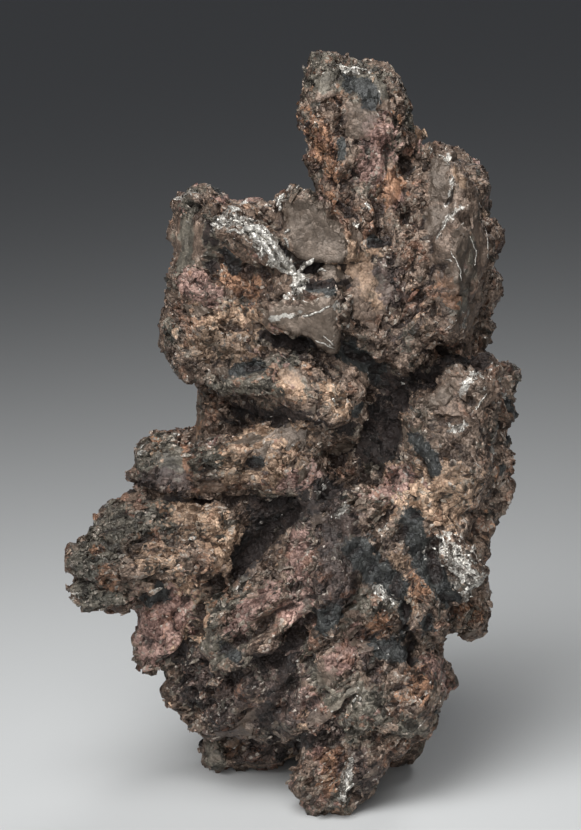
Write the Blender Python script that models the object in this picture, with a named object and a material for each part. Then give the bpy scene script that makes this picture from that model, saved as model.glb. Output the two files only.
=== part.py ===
"""A dyscrasite specimen: a cluster of intergrown silver antimonide crystals that stands on its own feet.

Blender 4.5: blender --background --python part.py. The model is in metres with +Z up. The origin lies on the
surface that the cluster stands on, under the middle of its box.

The crystals grew together, so the cluster is one solid. It is laid out in millimetres as blocks, one for each
crystal or knot of crystals. A block is an outline, drawn across the front on a board that leans back by
BOARD_LEAN, and rounded off towards its front and its back. The blocks are fused, broken up into facets and
pits, thinned to a light mesh, and trimmed flat under the feet.
"""

import math
from dataclasses import dataclass

import bmesh
import bpy
from mathutils import Matrix, Vector, noise

MM = 0.001
NODE_NAME = "dyscrasite_cluster"

# Where and how the blocks are drawn.
BOARD_LEAN = math.radians(12)
STANDING_HEIGHT = 2.7  # the level, in the drawing's millimetres, at which the feet are trimmed flat
TRIM_BOX = 200.0  # side of the box that trims the feet, larger than the cluster

# The rounding of a block in depth: stations from its front (-1) to its back (+1).
STATIONS = (-0.97, -0.88, -0.7, -0.4, 0.0, 0.4, 0.7, 0.88, 0.97)

# The fused mesh and its relief, in millimetres.
FUSE_VOXEL = 0.55
CLEAN_VOXEL = 0.55
SINK = -0.3  # drawn in by this much, so that the relief stays inside the outlines
BROAD_FACET, BROAD_DEPTH = 7.5, 0.8
SMALL_FACET, SMALL_DEPTH = 3.4, 0.65
LUMP_SIZE, LUMP_HEIGHT = 4.0, 0.45
PIT_SPACING, PIT_WIDTH, PIT_DEPTH = 5.2, 0.26, 1.1
TRIANGLES = 9400


@dataclass
class Block:
    """One crystal, or one knot of crystals, in millimetres and degrees."""

    outline: list  # (across, up) points on the board
    depth: float  # how far behind the origin its middle is
    front: float  # how far it reaches to the front of its middle
    back: float  # and to the back
    square: float = 3.0  # how square its rounding is: 2 is an ellipse, 5 is nearly a box
    turn: float = 0.0  # its front face turned to the left (-) or the right (+)
    pitch: float = 0.0  # its front face pitched up (+) or down (-)


BLOCKS = {
    # The upper group: a tall tower, a block on each side of it, and the ledge under them.
    "tower": Block(
        [(1.5, 74.0), (3.2, 75.2), (5.4, 74.9), (7.2, 74.0), (9.4, 74.0), (10.9, 72.2), (11.7, 69.7),
         (11.9, 66.0), (11.7, 61.0), (9.5, 54.0), (4.2, 54.5), (2.8, 60.7), (2.0, 64.5), (1.2, 68.0),
         (1.2, 71.2)],
        1.0, 5.6, 6.5, 4.2, turn=-8,
    ),
    "tower_knob": Block(
        [(11.2, 68.6), (12.8, 68.5), (13.3, 67.0), (12.6, 65.8), (11.2, 65.8)],
        1.5, 2.4, 2.5, 2.4,
    ),
    "right_face": Block(
        [(13.8, 65.4), (15.4, 65.7), (16.6, 64.2), (18.0, 61.8), (18.9, 59.3), (19.3, 56.0), (18.9, 52.0),
         (18.0, 48.2), (16.3, 46.2), (13.0, 46.7), (11.2, 51.0), (11.4, 57.0), (12.8, 62.0)],
        -1.5, 6.2, 7.5, 5.5, turn=-14, pitch=6,
    ),
    "right_rear": Block(
        [(14.0, 66.0), (17.0, 66.4), (18.6, 65.0), (19.5, 63.2), (19.5, 61.0), (20.0, 58.0), (19.8, 54.5),
         (20.7, 51.5), (20.3, 47.9), (18.8, 45.6), (14.0, 44.5), (12.0, 52.0), (13.0, 60.0)],
        8.0, 6.5, 6.5, 2.8, turn=12,
    ),
    "left_block": Block(
        [(-11.2, 61.4), (-9.8, 62.4), (-7.8, 62.2), (-6.4, 60.6), (-1.5, 60.2), (1.0, 57.6), (1.0, 51.0),
         (-2.0, 46.0), (-5.5, 43.2), (-9.6, 43.0), (-11.5, 44.2), (-12.3, 47.0), (-12.0, 50.2),
         (-11.2, 54.7), (-11.0, 58.7)],
        0.0, 7.0, 8.5, 4.4, turn=8,
    ),
    "left_brow": Block(
        [(-8.0, 59.8), (-4.5, 59.8), (-1.0, 56.8), (0.5, 54.2), (-1.5, 53.4), (-5.0, 55.4), (-8.2, 56.2)],
        -5.5, 4.0, 5.0, 3.2, turn=-10, pitch=20,
    ),
    "left_cheek": Block(
        [(-10.8, 55.0), (-8.0, 56.0), (-6.0, 51.0), (-6.5, 45.0), (-8.6, 43.8), (-10.8, 45.0),
         (-11.4, 49.5)],
        -2.5, 4.5, 6.0, 3.0, turn=-22,
    ),
    "centre_crystal": Block(
        [(-1.2, 60.8), (0.5, 61.3), (2.1, 60.5), (3.6, 58.3), (5.4, 56.0), (5.6, 54.4), (2.6, 54.2),
         (-0.6, 55.6)],
        -5.8, 4.6, 6.5, 5.0, turn=14, pitch=10,
    ),
    "centre_lower": Block(
        [(-2.0, 53.6), (5.4, 54.6), (5.9, 51.0), (4.8, 46.8), (2.0, 46.2), (-1.6, 48.7), (-2.4, 51.0)],
        -6.0, 4.8, 6.5, 5.0, turn=-6, pitch=-12,
    ),
    "neck": Block(
        [(4.0, 58.2), (11.5, 59.2), (13.5, 53.2), (13.4, 46.2), (11.5, 43.6), (8.0, 44.0), (5.0, 46.7),
         (4.2, 52.2)],
        -3.0, 6.2, 7.5, 3.2, turn=6,
    ),
    "upper_fill": Block(
        [(-8.0, 57.0), (3.0, 58.0), (12.0, 58.0), (16.0, 52.0), (14.5, 45.5), (6.0, 42.5), (-6.0, 43.5)],
        1.5, 7.0, 7.0, 3.2,
    ),
    "ledge": Block(
        [(-7.6, 41.6), (-6.5, 43.0), (-3.5, 45.3), (0.0, 46.2), (4.0, 46.0), (7.6, 43.9), (8.4, 40.6),
         (6.8, 37.2), (3.0, 37.2), (-1.5, 39.4), (-5.0, 40.8)],
        -4.0, 6.0, 7.5, 3.8, turn=-6, pitch=14,
    ),
    "rear_column": Block(
        [(-9.9, 44.5), (-4.0, 44.5), (-4.0, 35.0), (-9.2, 35.0), (-9.6, 39.0)],
        9.0, 4.0, 5.0, 2.6,
    ),
    # The arms that reach to the left.
    "middle_arm": Block(
        [(-15.2, 35.8), (-13.6, 37.4), (-11.4, 37.8), (-10.2, 37.0), (-8.5, 37.7), (-5.0, 37.6),
         (-2.0, 38.3), (0.5, 37.9), (4.0, 37.3), (4.5, 31.8), (1.0, 31.2), (-6.0, 31.6), (-11.0, 31.4),
         (-14.8, 32.0), (-15.7, 34.0)],
        -3.0, 5.6, 7.5, 4.0, turn=-5, pitch=8,
    ),
    "arm_root": Block(
        [(0.0, 38.0), (5.0, 39.5), (9.0, 38.0), (11.0, 34.0), (9.0, 31.0), (4.0, 29.0), (-3.0, 29.5),
         (-4.0, 33.0)],
        0.5, 5.5, 7.5, 3.0, turn=10,
    ),
    "lower_arm": Block(
        [(-21.6, 23.9), (-21.2, 26.0), (-20.0, 28.6), (-19.1, 30.0), (-17.8, 31.2), (-16.4, 31.9),
         (-15.0, 31.4), (-11.0, 30.4), (-5.0, 30.2), (-4.0, 28.0), (-4.4, 25.0), (-8.0, 22.6),
         (-13.0, 22.4), (-15.9, 21.2), (-18.0, 20.2), (-20.1, 21.2), (-21.5, 22.4)],
        -5.0, 5.4, 7.5, 3.4, turn=-8, pitch=10,
    ),
    "lower_arm_root": Block(
        [(-11.0, 29.0), (-3.0, 30.0), (1.5, 28.5), (0.0, 24.5), (-6.0, 19.5), (-11.0, 20.0)],
        -1.5, 5.0, 8.0, 3.0, pitch=6,
    ),
    "side_lobe": Block(
        [(-14.3, 21.4), (-12.5, 22.8), (-8.0, 22.8), (-7.0, 18.2), (-9.0, 15.8), (-12.1, 15.0),
         (-13.6, 14.3), (-14.8, 14.8), (-15.5, 16.2), (-15.3, 18.7)],
        -3.0, 4.8, 7.5, 3.2, turn=-10,
    ),
    # The right side under the upper group.
    "right_shoulder": Block(
        [(11.6, 38.5), (12.6, 40.6), (15.0, 43.6), (18.8, 44.4), (20.6, 43.0), (20.9, 39.2), (20.4, 33.2),
         (18.6, 29.0), (14.0, 29.6), (11.2, 33.2)],
        -2.0, 7.2, 7.5, 5.5, turn=-8, pitch=16,
    ),
    "right_edge": Block(
        [(18.9, 44.8), (21.8, 45.4), (22.5, 43.8), (22.1, 40.2), (21.6, 36.2), (21.5, 32.0), (20.9, 29.4),
         (19.6, 27.2), (17.5, 29.2), (17.5, 41.2)],
        4.5, 6.5, 6.0, 3.2, turn=10,
    ),
    "right_slope": Block(
        [(6.5, 33.0), (10.5, 35.6), (16.0, 36.0), (18.8, 33.2), (18.8, 29.0), (15.0, 25.0), (7.5, 26.5)],
        -3.5, 6.5, 8.5, 3.2, pitch=14,
    ),
    "silver_lobe": Block(
        [(13.4, 28.6), (15.2, 29.8), (17.4, 28.8), (18.8, 26.6), (19.2, 24.6), (18.4, 22.8), (16.6, 22.4),
         (14.6, 24.2)],
        -7.6, 4.2, 7.5, 2.6, turn=6, pitch=12,
    ),
    "right_waist": Block(
        [(14.0, 31.5), (19.6, 31.0), (20.2, 27.6), (19.9, 24.0), (18.0, 21.5), (14.0, 22.5)],
        0.0, 5.2, 7.0, 3.0, turn=8,
    ),
    "right_nub": Block(
        [(14.0, 22.8), (18.8, 24.5), (20.4, 21.7), (20.6, 19.4), (19.4, 17.6), (17.1, 17.8),
         (14.0, 18.2)],
        -1.5, 4.2, 6.5, 2.6,
    ),
    "right_hollow_fill": Block(
        [(6.5, 29.5), (15.0, 27.5), (16.2, 22.0), (15.0, 17.5), (6.0, 18.5)],
        -5.0, 6.0, 8.0, 3.2, turn=6,
    ),
    # Stone between the crystals, which closes the deep gaps.
    "waist_fill": Block(
        [(6.0, 44.5), (13.5, 45.5), (14.0, 35.0), (9.0, 31.0), (5.0, 36.0)],
        -0.5, 5.2, 7.0, 3.0,
    ),
    "shoulder_fill": Block([(12.0, 48.5), (18.6, 48.0), (19.4, 42.0), (12.0, 41.0)], 3.5, 6.2, 7.0, 3.0),
    "arm_fill": Block(
        [(-11.5, 35.0), (3.0, 36.0), (4.5, 28.5), (-2.0, 27.0), (-11.0, 28.0)],
        -1.5, 4.8, 8.0, 3.0,
    ),
    "column_fill": Block([(-9.0, 45.5), (0.0, 45.5), (1.0, 36.0), (-8.8, 36.0)], 3.0, 4.6, 7.0, 3.0),
    "front_fill": Block(
        [(0.0, 33.0), (9.0, 34.0), (10.5, 27.0), (8.0, 18.0), (1.0, 19.0)],
        -5.5, 5.6, 7.0, 3.2,
    ),
    # The lower mass, its crystals, and its feet.
    "lower_mass": Block(
        [(-8.3, 20.6), (-5.0, 24.1), (0.0, 28.0), (4.0, 31.0), (8.0, 32.5), (13.0, 32.5), (15.0, 29.0),
         (15.5, 21.2), (15.3, 17.2), (15.7, 13.4), (14.5, 9.9), (13.2, 7.3), (9.0, 6.0), (4.0, 5.8),
         (-1.0, 6.4), (-5.0, 7.4), (-8.8, 9.8), (-11.0, 13.4), (-10.6, 17.2)],
        1.0, 11.0, 10.5, 3.2, pitch=-4,
    ),
    "ridge_crystal": Block(
        [(2.0, 29.0), (3.6, 31.0), (6.0, 31.2), (7.8, 29.0), (7.4, 23.2), (6.0, 17.6), (2.5, 17.2),
         (1.0, 22.2)],
        -7.5, 4.6, 6.5, 3.4, turn=-8, pitch=5,
    ),
    "left_flank": Block(
        [(-8.6, 20.3), (-6.3, 22.6), (-2.5, 24.8), (1.5, 27.1), (2.4, 21.2), (0.5, 16.2), (-4.0, 12.2),
         (-7.3, 13.2), (-8.7, 17.2)],
        -6.0, 4.8, 6.5, 3.4, turn=-14, pitch=6,
    ),
    "lower_front": Block(
        [(1.0, 16.2), (6.0, 19.2), (12.0, 17.5), (15.0, 15.2), (15.2, 12.4), (13.6, 8.6), (10.0, 6.6),
         (4.0, 6.7), (0.0, 8.0), (-0.6, 12.2)],
        -6.0, 5.8, 7.5, 3.4, turn=5, pitch=-6,
    ),
    "low_left": Block(
        [(-11.8, 17.4), (-5.0, 17.0), (-1.0, 11.2), (-3.0, 7.0), (-9.4, 7.4), (-11.2, 9.6),
         (-12.4, 13.6)],
        1.0, 6.4, 8.5, 3.4, turn=-10, pitch=-8,
    ),
    "front_foot": Block(
        [(0.2, 5.7), (1.2, 8.0), (6.0, 8.6), (9.2, 7.4), (9.5, 4.6), (8.2, 2.6), (6.7, 2.0), (6.0, 0.9),
         (4.9, 0.2), (3.7, 1.0), (2.2, 0.5), (1.0, 1.4), (0.2, 3.7)],
        -8.0, 4.3, 6.5, 3.4,
    ),
    "left_foot": Block(
        [(-6.0, 7.6), (-6.2, 13.0), (0.5, 13.5), (0.8, 5.8), (-2.2, 3.6), (-6.2, 3.4)],
        6.0, 7.0, 6.0, 3.6,
    ),
    "left_toe": Block([(-9.0, 6.4), (-6.0, 7.4), (-5.0, 3.2), (-8.4, 3.2)], 4.5, 3.4, 4.0, 3.6),
    "right_foot": Block(
        [(8.0, 8.0), (12.6, 10.2), (13.9, 8.0), (13.0, 5.0), (11.4, 3.6), (8.6, 3.8)],
        7.5, 5.0, 5.5, 3.4,
    ),
    "back_foot": Block(
        [(-7.0, 12.0), (2.0, 14.0), (10.0, 12.0), (11.0, 6.0), (6.0, 5.2), (-5.0, 5.2)],
        12.0, 4.5, 4.0, 3.4,
    ),
    # The back, which ties the upper group to the lower mass.
    "core": Block(
        [(-1.0, 43.5), (4.0, 50.0), (12.0, 49.0), (18.5, 44.0), (18.0, 31.0), (6.0, 26.0), (-2.0, 33.0)],
        6.5, 5.5, 7.0, 3.0,
    ),
    "back_upper": Block(
        [(-9.0, 47.0), (-6.0, 57.5), (0.0, 59.5), (9.0, 58.0), (12.0, 50.0), (5.0, 44.0), (-5.0, 43.0)],
        7.5, 6.0, 5.5, 3.4, turn=10, pitch=8,
    ),
    "back_middle": Block(
        [(-11.8, 30.0), (-9.0, 37.0), (-1.0, 41.0), (7.0, 37.0), (10.0, 30.0), (3.0, 23.0), (-8.0, 23.5)],
        8.0, 6.5, 6.5, 3.0, turn=-8, pitch=-10,
    ),
    "back_lower": Block(
        [(-8.5, 14.0), (-4.0, 22.0), (5.0, 25.0), (13.0, 21.0), (14.5, 13.0), (9.0, 7.0), (-3.0, 7.5)],
        9.5, 6.0, 5.5, 3.2, turn=6, pitch=12,
    ),
}

# Knots of crystals on the back and the sides: (across, up, depth), (half width, half height, half depth),
# turn and pitch. Their outlines are wavy rounds.
KNOTS = [
    ((-4.8, 52.5, 12.5), (4.4, 5.2, 5.0), -20, 14),
    ((3.0, 56.5, 12.0), (4.2, 4.6, 5.5), 12, 24),
    ((10.0, 51.0, 12.5), (4.0, 6.2, 5.0), 28, -10),
    ((6.5, 65.5, 5.0), (3.8, 7.0, 4.4), 10, 12),
    ((-1.5, 44.5, 14.0), (5.2, 4.2, 4.6), -12, -16),
    ((14.0, 39.0, 10.5), (5.0, 6.2, 5.0), 24, 10),
    ((-10.0, 34.5, 11.0), (4.2, 4.6, 5.2), -30, 6),
    ((6.5, 32.0, 14.5), (5.4, 5.4, 4.6), 14, -12),
    ((-4.0, 25.0, 14.5), (5.2, 5.8, 4.8), -16, 14),
    ((12.0, 21.5, 12.5), (4.6, 6.0, 5.6), 26, -8),
    ((3.5, 15.0, 15.0), (5.6, 5.4, 4.4), 8, -18),
    ((-7.5, 15.5, 9.5), (4.6, 6.4, 5.4), -34, -6),
    ((16.2, 55.5, 4.5), (3.0, 5.4, 6.2), 34, 8),
    ((17.2, 37.5, 4.0), (2.8, 5.0, 6.6), 40, -8),
    ((-7.6, 51.0, 6.5), (3.0, 6.0, 5.6), -36, -10),
    ((12.8, 12.5, 4.0), (2.4, 4.4, 6.0), 38, 12),
]
KNOT_SIDES = 9
KNOT_WAVE = 0.14


def knot(place, half, turn, pitch, phase):
    """A knot as a block with a wavy, round outline."""
    angles = [2 * math.pi * i / KNOT_SIDES for i in range(KNOT_SIDES)]
    waves = [1 + KNOT_WAVE * math.sin(3 * angle + phase) for angle in angles]
    outline = [
        (place[0] + half[0] * wave * math.cos(angle), place[1] + half[1] * wave * math.sin(angle))
        for angle, wave in zip(angles, waves)
    ]
    return Block(outline, place[2], half[2], half[2], 3.0, turn, pitch)


def clear_scene():
    """Removes whatever the startup file holds."""
    for old in list(bpy.data.objects):
        bpy.data.objects.remove(old, do_unlink=True)


def add_block(mesh, block):
    """Adds one block to the bmesh: rings of its outline, smaller to the front and back, with flat ends."""
    middle = sum((Vector(point) for point in block.outline), Vector((0, 0))) / len(block.outline)
    lean = Matrix.Rotation(-BOARD_LEAN, 3, "X")
    facing = Matrix.Rotation(math.radians(block.turn), 3, "Z")
    facing = facing @ Matrix.Rotation(math.radians(-block.pitch), 3, "X")
    centre = Vector((middle.x, block.depth, 0))
    centre.z = (middle.y - block.depth * math.sin(BOARD_LEAN)) / math.cos(BOARD_LEAN)
    rings = []
    for station in STATIONS:
        size = (1 - abs(station) ** block.square) ** (1 / block.square)
        behind = station * (block.front if station < 0 else block.back)
        ring = []
        for point in block.outline:
            across, up = (Vector(point) - middle) * size
            ring.append(mesh.verts.new(centre + lean @ facing @ Vector((across, behind, up))))
        rings.append(ring)
    count = len(block.outline)
    for near, far in zip(rings, rings[1:]):
        for i in range(count):
            j = (i + 1) % count
            mesh.faces.new((near[i], near[j], far[j], far[i]))
    mesh.faces.new(list(reversed(rings[0])))
    mesh.faces.new(rings[-1])


def facets(point, size):
    """Height of a surface broken into flat, tilted facets: each cell slopes its own way."""
    place = point / size
    nearest = noise.voronoi(place)[1][0]
    slope = noise.cell_vector(nearest * 17.0)
    return (place - nearest).dot(slope)


def pits(point):
    """How deep a pit is at this point, from 0 outside to 1 at its middle."""
    distance = noise.voronoi(point / PIT_SPACING + Vector((3.1, 7.7, 1.9)))[0][0]
    return max(0.0, 1 - distance / PIT_WIDTH) ** 0.5


def relief(point):
    """How far the surface stands out at this point, in millimetres: facets, lumps and pits."""
    return (
        SINK
        + BROAD_DEPTH * facets(point, BROAD_FACET)
        + SMALL_DEPTH * facets(point + Vector((5, 9, 2)), SMALL_FACET)
        + LUMP_HEIGHT * noise.fractal(point / LUMP_SIZE, 0.9, 2.1, 3)
        - PIT_DEPTH * pits(point)
    )


def evaluated_mesh(obj):
    """A new mesh with the object's modifiers applied."""
    graph = bpy.context.evaluated_depsgraph_get()
    return bpy.data.meshes.new_from_object(obj.evaluated_get(graph))


def fused_blocks():
    """All blocks as one closed mesh in millimetres, made by a voxel remesh."""
    mesh = bmesh.new()
    knots = [knot(*values, phase=index) for index, values in enumerate(KNOTS)]
    for block in [*BLOCKS.values(), *knots]:
        add_block(mesh, block)
    bmesh.ops.recalc_face_normals(mesh, faces=mesh.faces)
    rough = bpy.data.meshes.new("blocks")
    mesh.to_mesh(rough)
    mesh.free()
    blocks = bpy.data.objects.new("blocks", rough)
    bpy.context.scene.collection.objects.link(blocks)
    fuse = blocks.modifiers.new("fuse", "REMESH")
    fuse.mode = "VOXEL"
    fuse.voxel_size = FUSE_VOXEL
    fused = evaluated_mesh(blocks)
    bpy.data.objects.remove(blocks, do_unlink=True)
    return fused


def raise_relief(mesh):
    """Moves each point of the mesh out or in along its normal by the relief."""
    normals = [vertex.normal.copy() for vertex in mesh.vertices]
    for vertex, normal in zip(mesh.vertices, normals):
        vertex.co += normal * relief(vertex.co)


def metal():
    """Tarnished silver antimonide."""
    material = bpy.data.materials.new("tarnished_dyscrasite")
    material.use_nodes = True
    shader = material.node_tree.nodes["Principled BSDF"]
    shader.inputs["Base Color"].default_value = (0.16, 0.12, 0.10, 1)
    shader.inputs["Metallic"].default_value = 0.6
    shader.inputs["Roughness"].default_value = 0.5
    return material


def trim_box():
    """The box that cuts the feet flat at the standing height, in metres."""
    bpy.ops.mesh.primitive_cube_add(size=TRIM_BOX * MM, location=(0, 0, -TRIM_BOX / 2 * MM))
    box = bpy.context.object
    box.name = "trim_box"
    box.hide_render = True
    box.display_type = "WIRE"
    return box


def build():
    """Makes the cluster."""
    clear_scene()
    mesh = fused_blocks()
    raise_relief(mesh)
    corner_low = Vector(map(min, zip(*(vertex.co for vertex in mesh.vertices))))
    corner_high = Vector(map(max, zip(*(vertex.co for vertex in mesh.vertices))))
    centre = (corner_low + corner_high) / 2
    for vertex in mesh.vertices:
        vertex.co = (vertex.co - Vector((centre.x, centre.y, STANDING_HEIGHT))) * MM
    mesh.materials.clear()
    mesh.materials.append(metal())
    cluster = bpy.data.objects.new(NODE_NAME, mesh)
    bpy.context.scene.collection.objects.link(cluster)
    clean = cluster.modifiers.new("clean", "REMESH")
    clean.mode = "VOXEL"
    clean.voxel_size = CLEAN_VOXEL * MM
    bpy.context.view_layer.update()
    fine = evaluated_mesh(cluster)
    fine.calc_loop_triangles()
    thin = cluster.modifiers.new("thin", "DECIMATE")
    thin.ratio = TRIANGLES / len(fine.loop_triangles)
    trim = cluster.modifiers.new("trim", "BOOLEAN")
    trim.operation = "DIFFERENCE"
    trim.object = trim_box()
    print(len(fine.vertices), "points before thinning")


build()
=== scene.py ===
# %% [markdown]
# # A dyscrasite specimen
#
# Dyscrasite is an ore of silver and antimony. This group grew in a vein and was freed from it
# with acid, so it is a rough cluster of blocky crystals with a skin that tarnished brown,
# blue-black, copper and tan. Only the ridges still shine like silver. The lesson dresses a plain
# faceted solid of the group: it refines the surface, carves the plates, ledges, cracks and pits,
# lays colour zones over it, and lights it softly.
#
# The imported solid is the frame. It gives the size and the place of everything, so nothing here is
# measured twice.

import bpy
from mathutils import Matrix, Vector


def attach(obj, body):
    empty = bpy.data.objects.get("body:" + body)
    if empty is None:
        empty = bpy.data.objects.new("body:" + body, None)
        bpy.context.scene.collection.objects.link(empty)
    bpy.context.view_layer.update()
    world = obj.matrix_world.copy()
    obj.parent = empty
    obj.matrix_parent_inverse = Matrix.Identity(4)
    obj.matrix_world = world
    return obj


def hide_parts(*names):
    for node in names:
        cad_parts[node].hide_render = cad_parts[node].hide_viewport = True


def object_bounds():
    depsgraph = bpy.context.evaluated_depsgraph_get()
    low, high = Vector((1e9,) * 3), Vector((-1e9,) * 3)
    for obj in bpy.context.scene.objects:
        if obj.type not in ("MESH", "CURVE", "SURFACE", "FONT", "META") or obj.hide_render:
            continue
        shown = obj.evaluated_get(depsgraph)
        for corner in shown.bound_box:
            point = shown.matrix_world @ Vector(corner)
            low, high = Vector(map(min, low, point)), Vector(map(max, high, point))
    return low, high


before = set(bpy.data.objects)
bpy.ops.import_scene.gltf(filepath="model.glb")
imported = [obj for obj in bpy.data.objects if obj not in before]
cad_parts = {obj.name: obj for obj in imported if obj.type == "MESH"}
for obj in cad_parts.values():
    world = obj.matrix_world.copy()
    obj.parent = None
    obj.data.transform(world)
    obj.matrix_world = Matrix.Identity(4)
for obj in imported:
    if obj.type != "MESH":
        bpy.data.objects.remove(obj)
cad_box = [list(map(float, corner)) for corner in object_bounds()]

import math
from itertools import product

import bmesh
import bpy
import numpy as np
from mathutils import Vector, geometry, noise
from mathutils.bvhtree import BVHTree
from mathutils.kdtree import KDTree

MM = 0.001
NODE = "dyscrasite_cluster"
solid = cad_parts[NODE]
print("the solid is", [round((high - low) / MM, 1) for low, high in zip(*cad_box)], "mm")

# %% [markdown]
# ## The camera
#
# The group stands a little under eye level. A long lens from a third of a metre keeps it as flat
# as a catalogue picture does, and the whole lesson uses the same camera to say where on the front
# a detail lies. A place in the frame is (across, down) in its pixels, and `frame_places` and
# `on_surface` turn points into places and places into points.

# %% Camera
FRAME_WIDTH, FRAME_HEIGHT = 581, 830
CAMERA_RISE = math.radians(12)
CAMERA_DISTANCE = 0.33
CAMERA_TARGET = Vector((-0.0005, 0, 0.0372))
LENS, SENSOR = 143, 36

camera_data = bpy.data.cameras.new("camera")
camera_data.lens = LENS
camera_data.sensor_width = SENSOR
camera_data.clip_start = 0.01
camera = bpy.data.objects.new("camera", camera_data)
bpy.context.scene.collection.objects.link(camera)
bpy.context.scene.camera = camera
towards_camera = Vector((0, -math.cos(CAMERA_RISE), math.sin(CAMERA_RISE)))
camera.location = CAMERA_TARGET + CAMERA_DISTANCE * towards_camera
camera.rotation_euler = (math.pi / 2 - CAMERA_RISE, 0, 0)

CAMERA_UP = Vector((0, math.sin(CAMERA_RISE), math.cos(CAMERA_RISE)))
FOCAL_PIXELS = LENS / SENSOR * FRAME_HEIGHT
PIXELS_PER_MM = FOCAL_PIXELS / CAMERA_DISTANCE * MM


def frame_places(points):
    """Where points, as rows of (x, y, z), show in the camera's frame, as rows of (across, down)."""
    offset = points - np.array(camera.location)
    away = offset @ -np.array(towards_camera)
    across = FRAME_WIDTH / 2 + FOCAL_PIXELS * offset[:, 0] / away
    down = FRAME_HEIGHT / 2 - FOCAL_PIXELS * (offset @ np.array(CAMERA_UP)) / away
    return np.column_stack([across, down])


def camera_ray(place):
    """The direction of the camera's ray through a place in its frame."""
    across, down = place
    sideways = (across - FRAME_WIDTH / 2) / FOCAL_PIXELS
    upwards = (FRAME_HEIGHT / 2 - down) / FOCAL_PIXELS
    return (Vector((1, 0, 0)) * sideways + CAMERA_UP * upwards - towards_camera).normalized()


print("one pixel is", round(1 / PIXELS_PER_MM, 3), "mm at the group")

# %% [markdown]
# ## A fine skin
#
# The solid has about ten thousand triangles with hard edges, enough for its weight and its
# outline. A voxel remesh lays an even net over it, fine enough to carve, and a few rounds of
# smoothing take the triangle edges away. The flat undersides of the feet are kept: no point ever
# goes below the table.

# %% A fine, even net
SKIN_VOXEL = 0.38 * MM
SKIN_SMOOTHING = 3


def remeshed(mesh, voxel):
    """A copy of the mesh as an even net of quads."""
    blank = bpy.data.objects.new("remesh", mesh)
    bpy.context.scene.collection.objects.link(blank)
    remesh = blank.modifiers.new("remesh", "REMESH")
    remesh.mode = "VOXEL"
    remesh.voxel_size = voxel
    graph = bpy.context.evaluated_depsgraph_get()
    result = bpy.data.meshes.new_from_object(blank.evaluated_get(graph))
    bpy.data.objects.remove(blank)
    return result


class Net:
    """The points and edges of a mesh as arrays, which are quick to smooth and to move."""

    def __init__(self, mesh):
        self.mesh = mesh
        self.points = np.empty(len(mesh.vertices) * 3)
        mesh.vertices.foreach_get("co", self.points)
        self.points = self.points.reshape(-1, 3)
        self.edges = np.empty(len(mesh.edges) * 2, int)
        mesh.edges.foreach_get("vertices", self.edges)
        self.edges = self.edges.reshape(-1, 2)
        self.neighbours = np.bincount(self.edges.ravel(), minlength=len(self.points))

    def smoothed(self, values, rounds):
        """The values, one row for each point, averaged with their neighbours' in each round."""
        values = np.array(values, float)
        flat = values.ndim == 1
        if flat:
            values = values[:, None]
        first, second = self.edges.T
        for _ in range(rounds):
            total = values.copy()
            for axis in range(values.shape[1]):
                total[:, axis] += np.bincount(first, values[second, axis], len(values))
                total[:, axis] += np.bincount(second, values[first, axis], len(values))
            values = total / (self.neighbours + 1)[:, None]
        return values[:, 0] if flat else values

    def normals(self):
        """The unit normal at each point."""
        self.mesh.vertices.foreach_set("co", self.points.ravel())
        self.mesh.update()
        found = np.empty(len(self.points) * 3)
        self.mesh.vertices.foreach_get("normal", found)
        return found.reshape(-1, 3)


net = Net(remeshed(solid.data.copy(), SKIN_VOXEL))
net.points = net.smoothed(net.points, SKIN_SMOOTHING)
print("the skin has", len(net.points), "points")

# %% [markdown]
# ## Finding a place on the skin
#
# Details are laid out by where they show in the camera's frame, and then fixed to the skin in
# three dimensions, so they stay where they are from any side. A ray from the camera finds the
# point of the skin under each place. The same rays tell which points are seen from the front:
# named details belong there, and the rest of the skin gets its own details from noise.

# %% From the frame to the skin
CLOSE = 0.3 * MM  # a ray starts this far off the skin, so that it doesn't meet its own start
SEEN_ROUNDS = 2
NO_LENGTH = 1e-12  # keeps a division by the length of nothing harmless

skin_faces = [list(face.vertices) for face in net.mesh.polygons]
tree = BVHTree.FromPolygons(net.points.tolist(), skin_faces)


def on_surface(place):
    """The point of the skin that shows at a place in the frame, or None beside the group."""
    return tree.ray_cast(camera.location, camera_ray(place))[0]


def seen_points(points, normals):
    """1 where a point is seen by the camera, 0 where it is hidden or faces away."""
    result = np.zeros(len(points))
    eye = Vector(camera.location)
    for index in np.flatnonzero(normals @ np.array(towards_camera) > 0):
        start = Vector(points[index])
        ray = eye - start
        lifted = start + Vector(normals[index]) * CLOSE
        result[index] = tree.ray_cast(lifted, ray.normalized(), ray.length)[0] is None
    return result


base_normals = net.normals()
seen = net.smoothed(seen_points(net.points, base_normals), SEEN_ROUNDS)
places = frame_places(net.points)
print("seen from the front:", round(100 * float(seen.mean())), "% of the points")


def line_distance(points, line):
    """The distance from each point to a broken line in space."""
    best = np.full(len(points), np.inf)
    for start, end in zip(line, line[1:] if len(line) > 1 else line):
        start, end = np.array(start), np.array(end)
        along = end - start
        share = np.clip((points - start) @ along / max(along @ along, NO_LENGTH), 0, 1)
        best = np.minimum(best, np.linalg.norm(points - start - share[:, None] * along, axis=1))
    return best


def near_line(line, width):
    """1 on a broken line over the skin through places in the frame, 0 from a width in mm away."""
    anchors = [point for point in map(on_surface, line) if point is not None]
    if not anchors:
        return np.zeros(len(net.points))
    return np.clip(1 - line_distance(net.points, anchors) / (width * MM), 0, 1)


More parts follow.
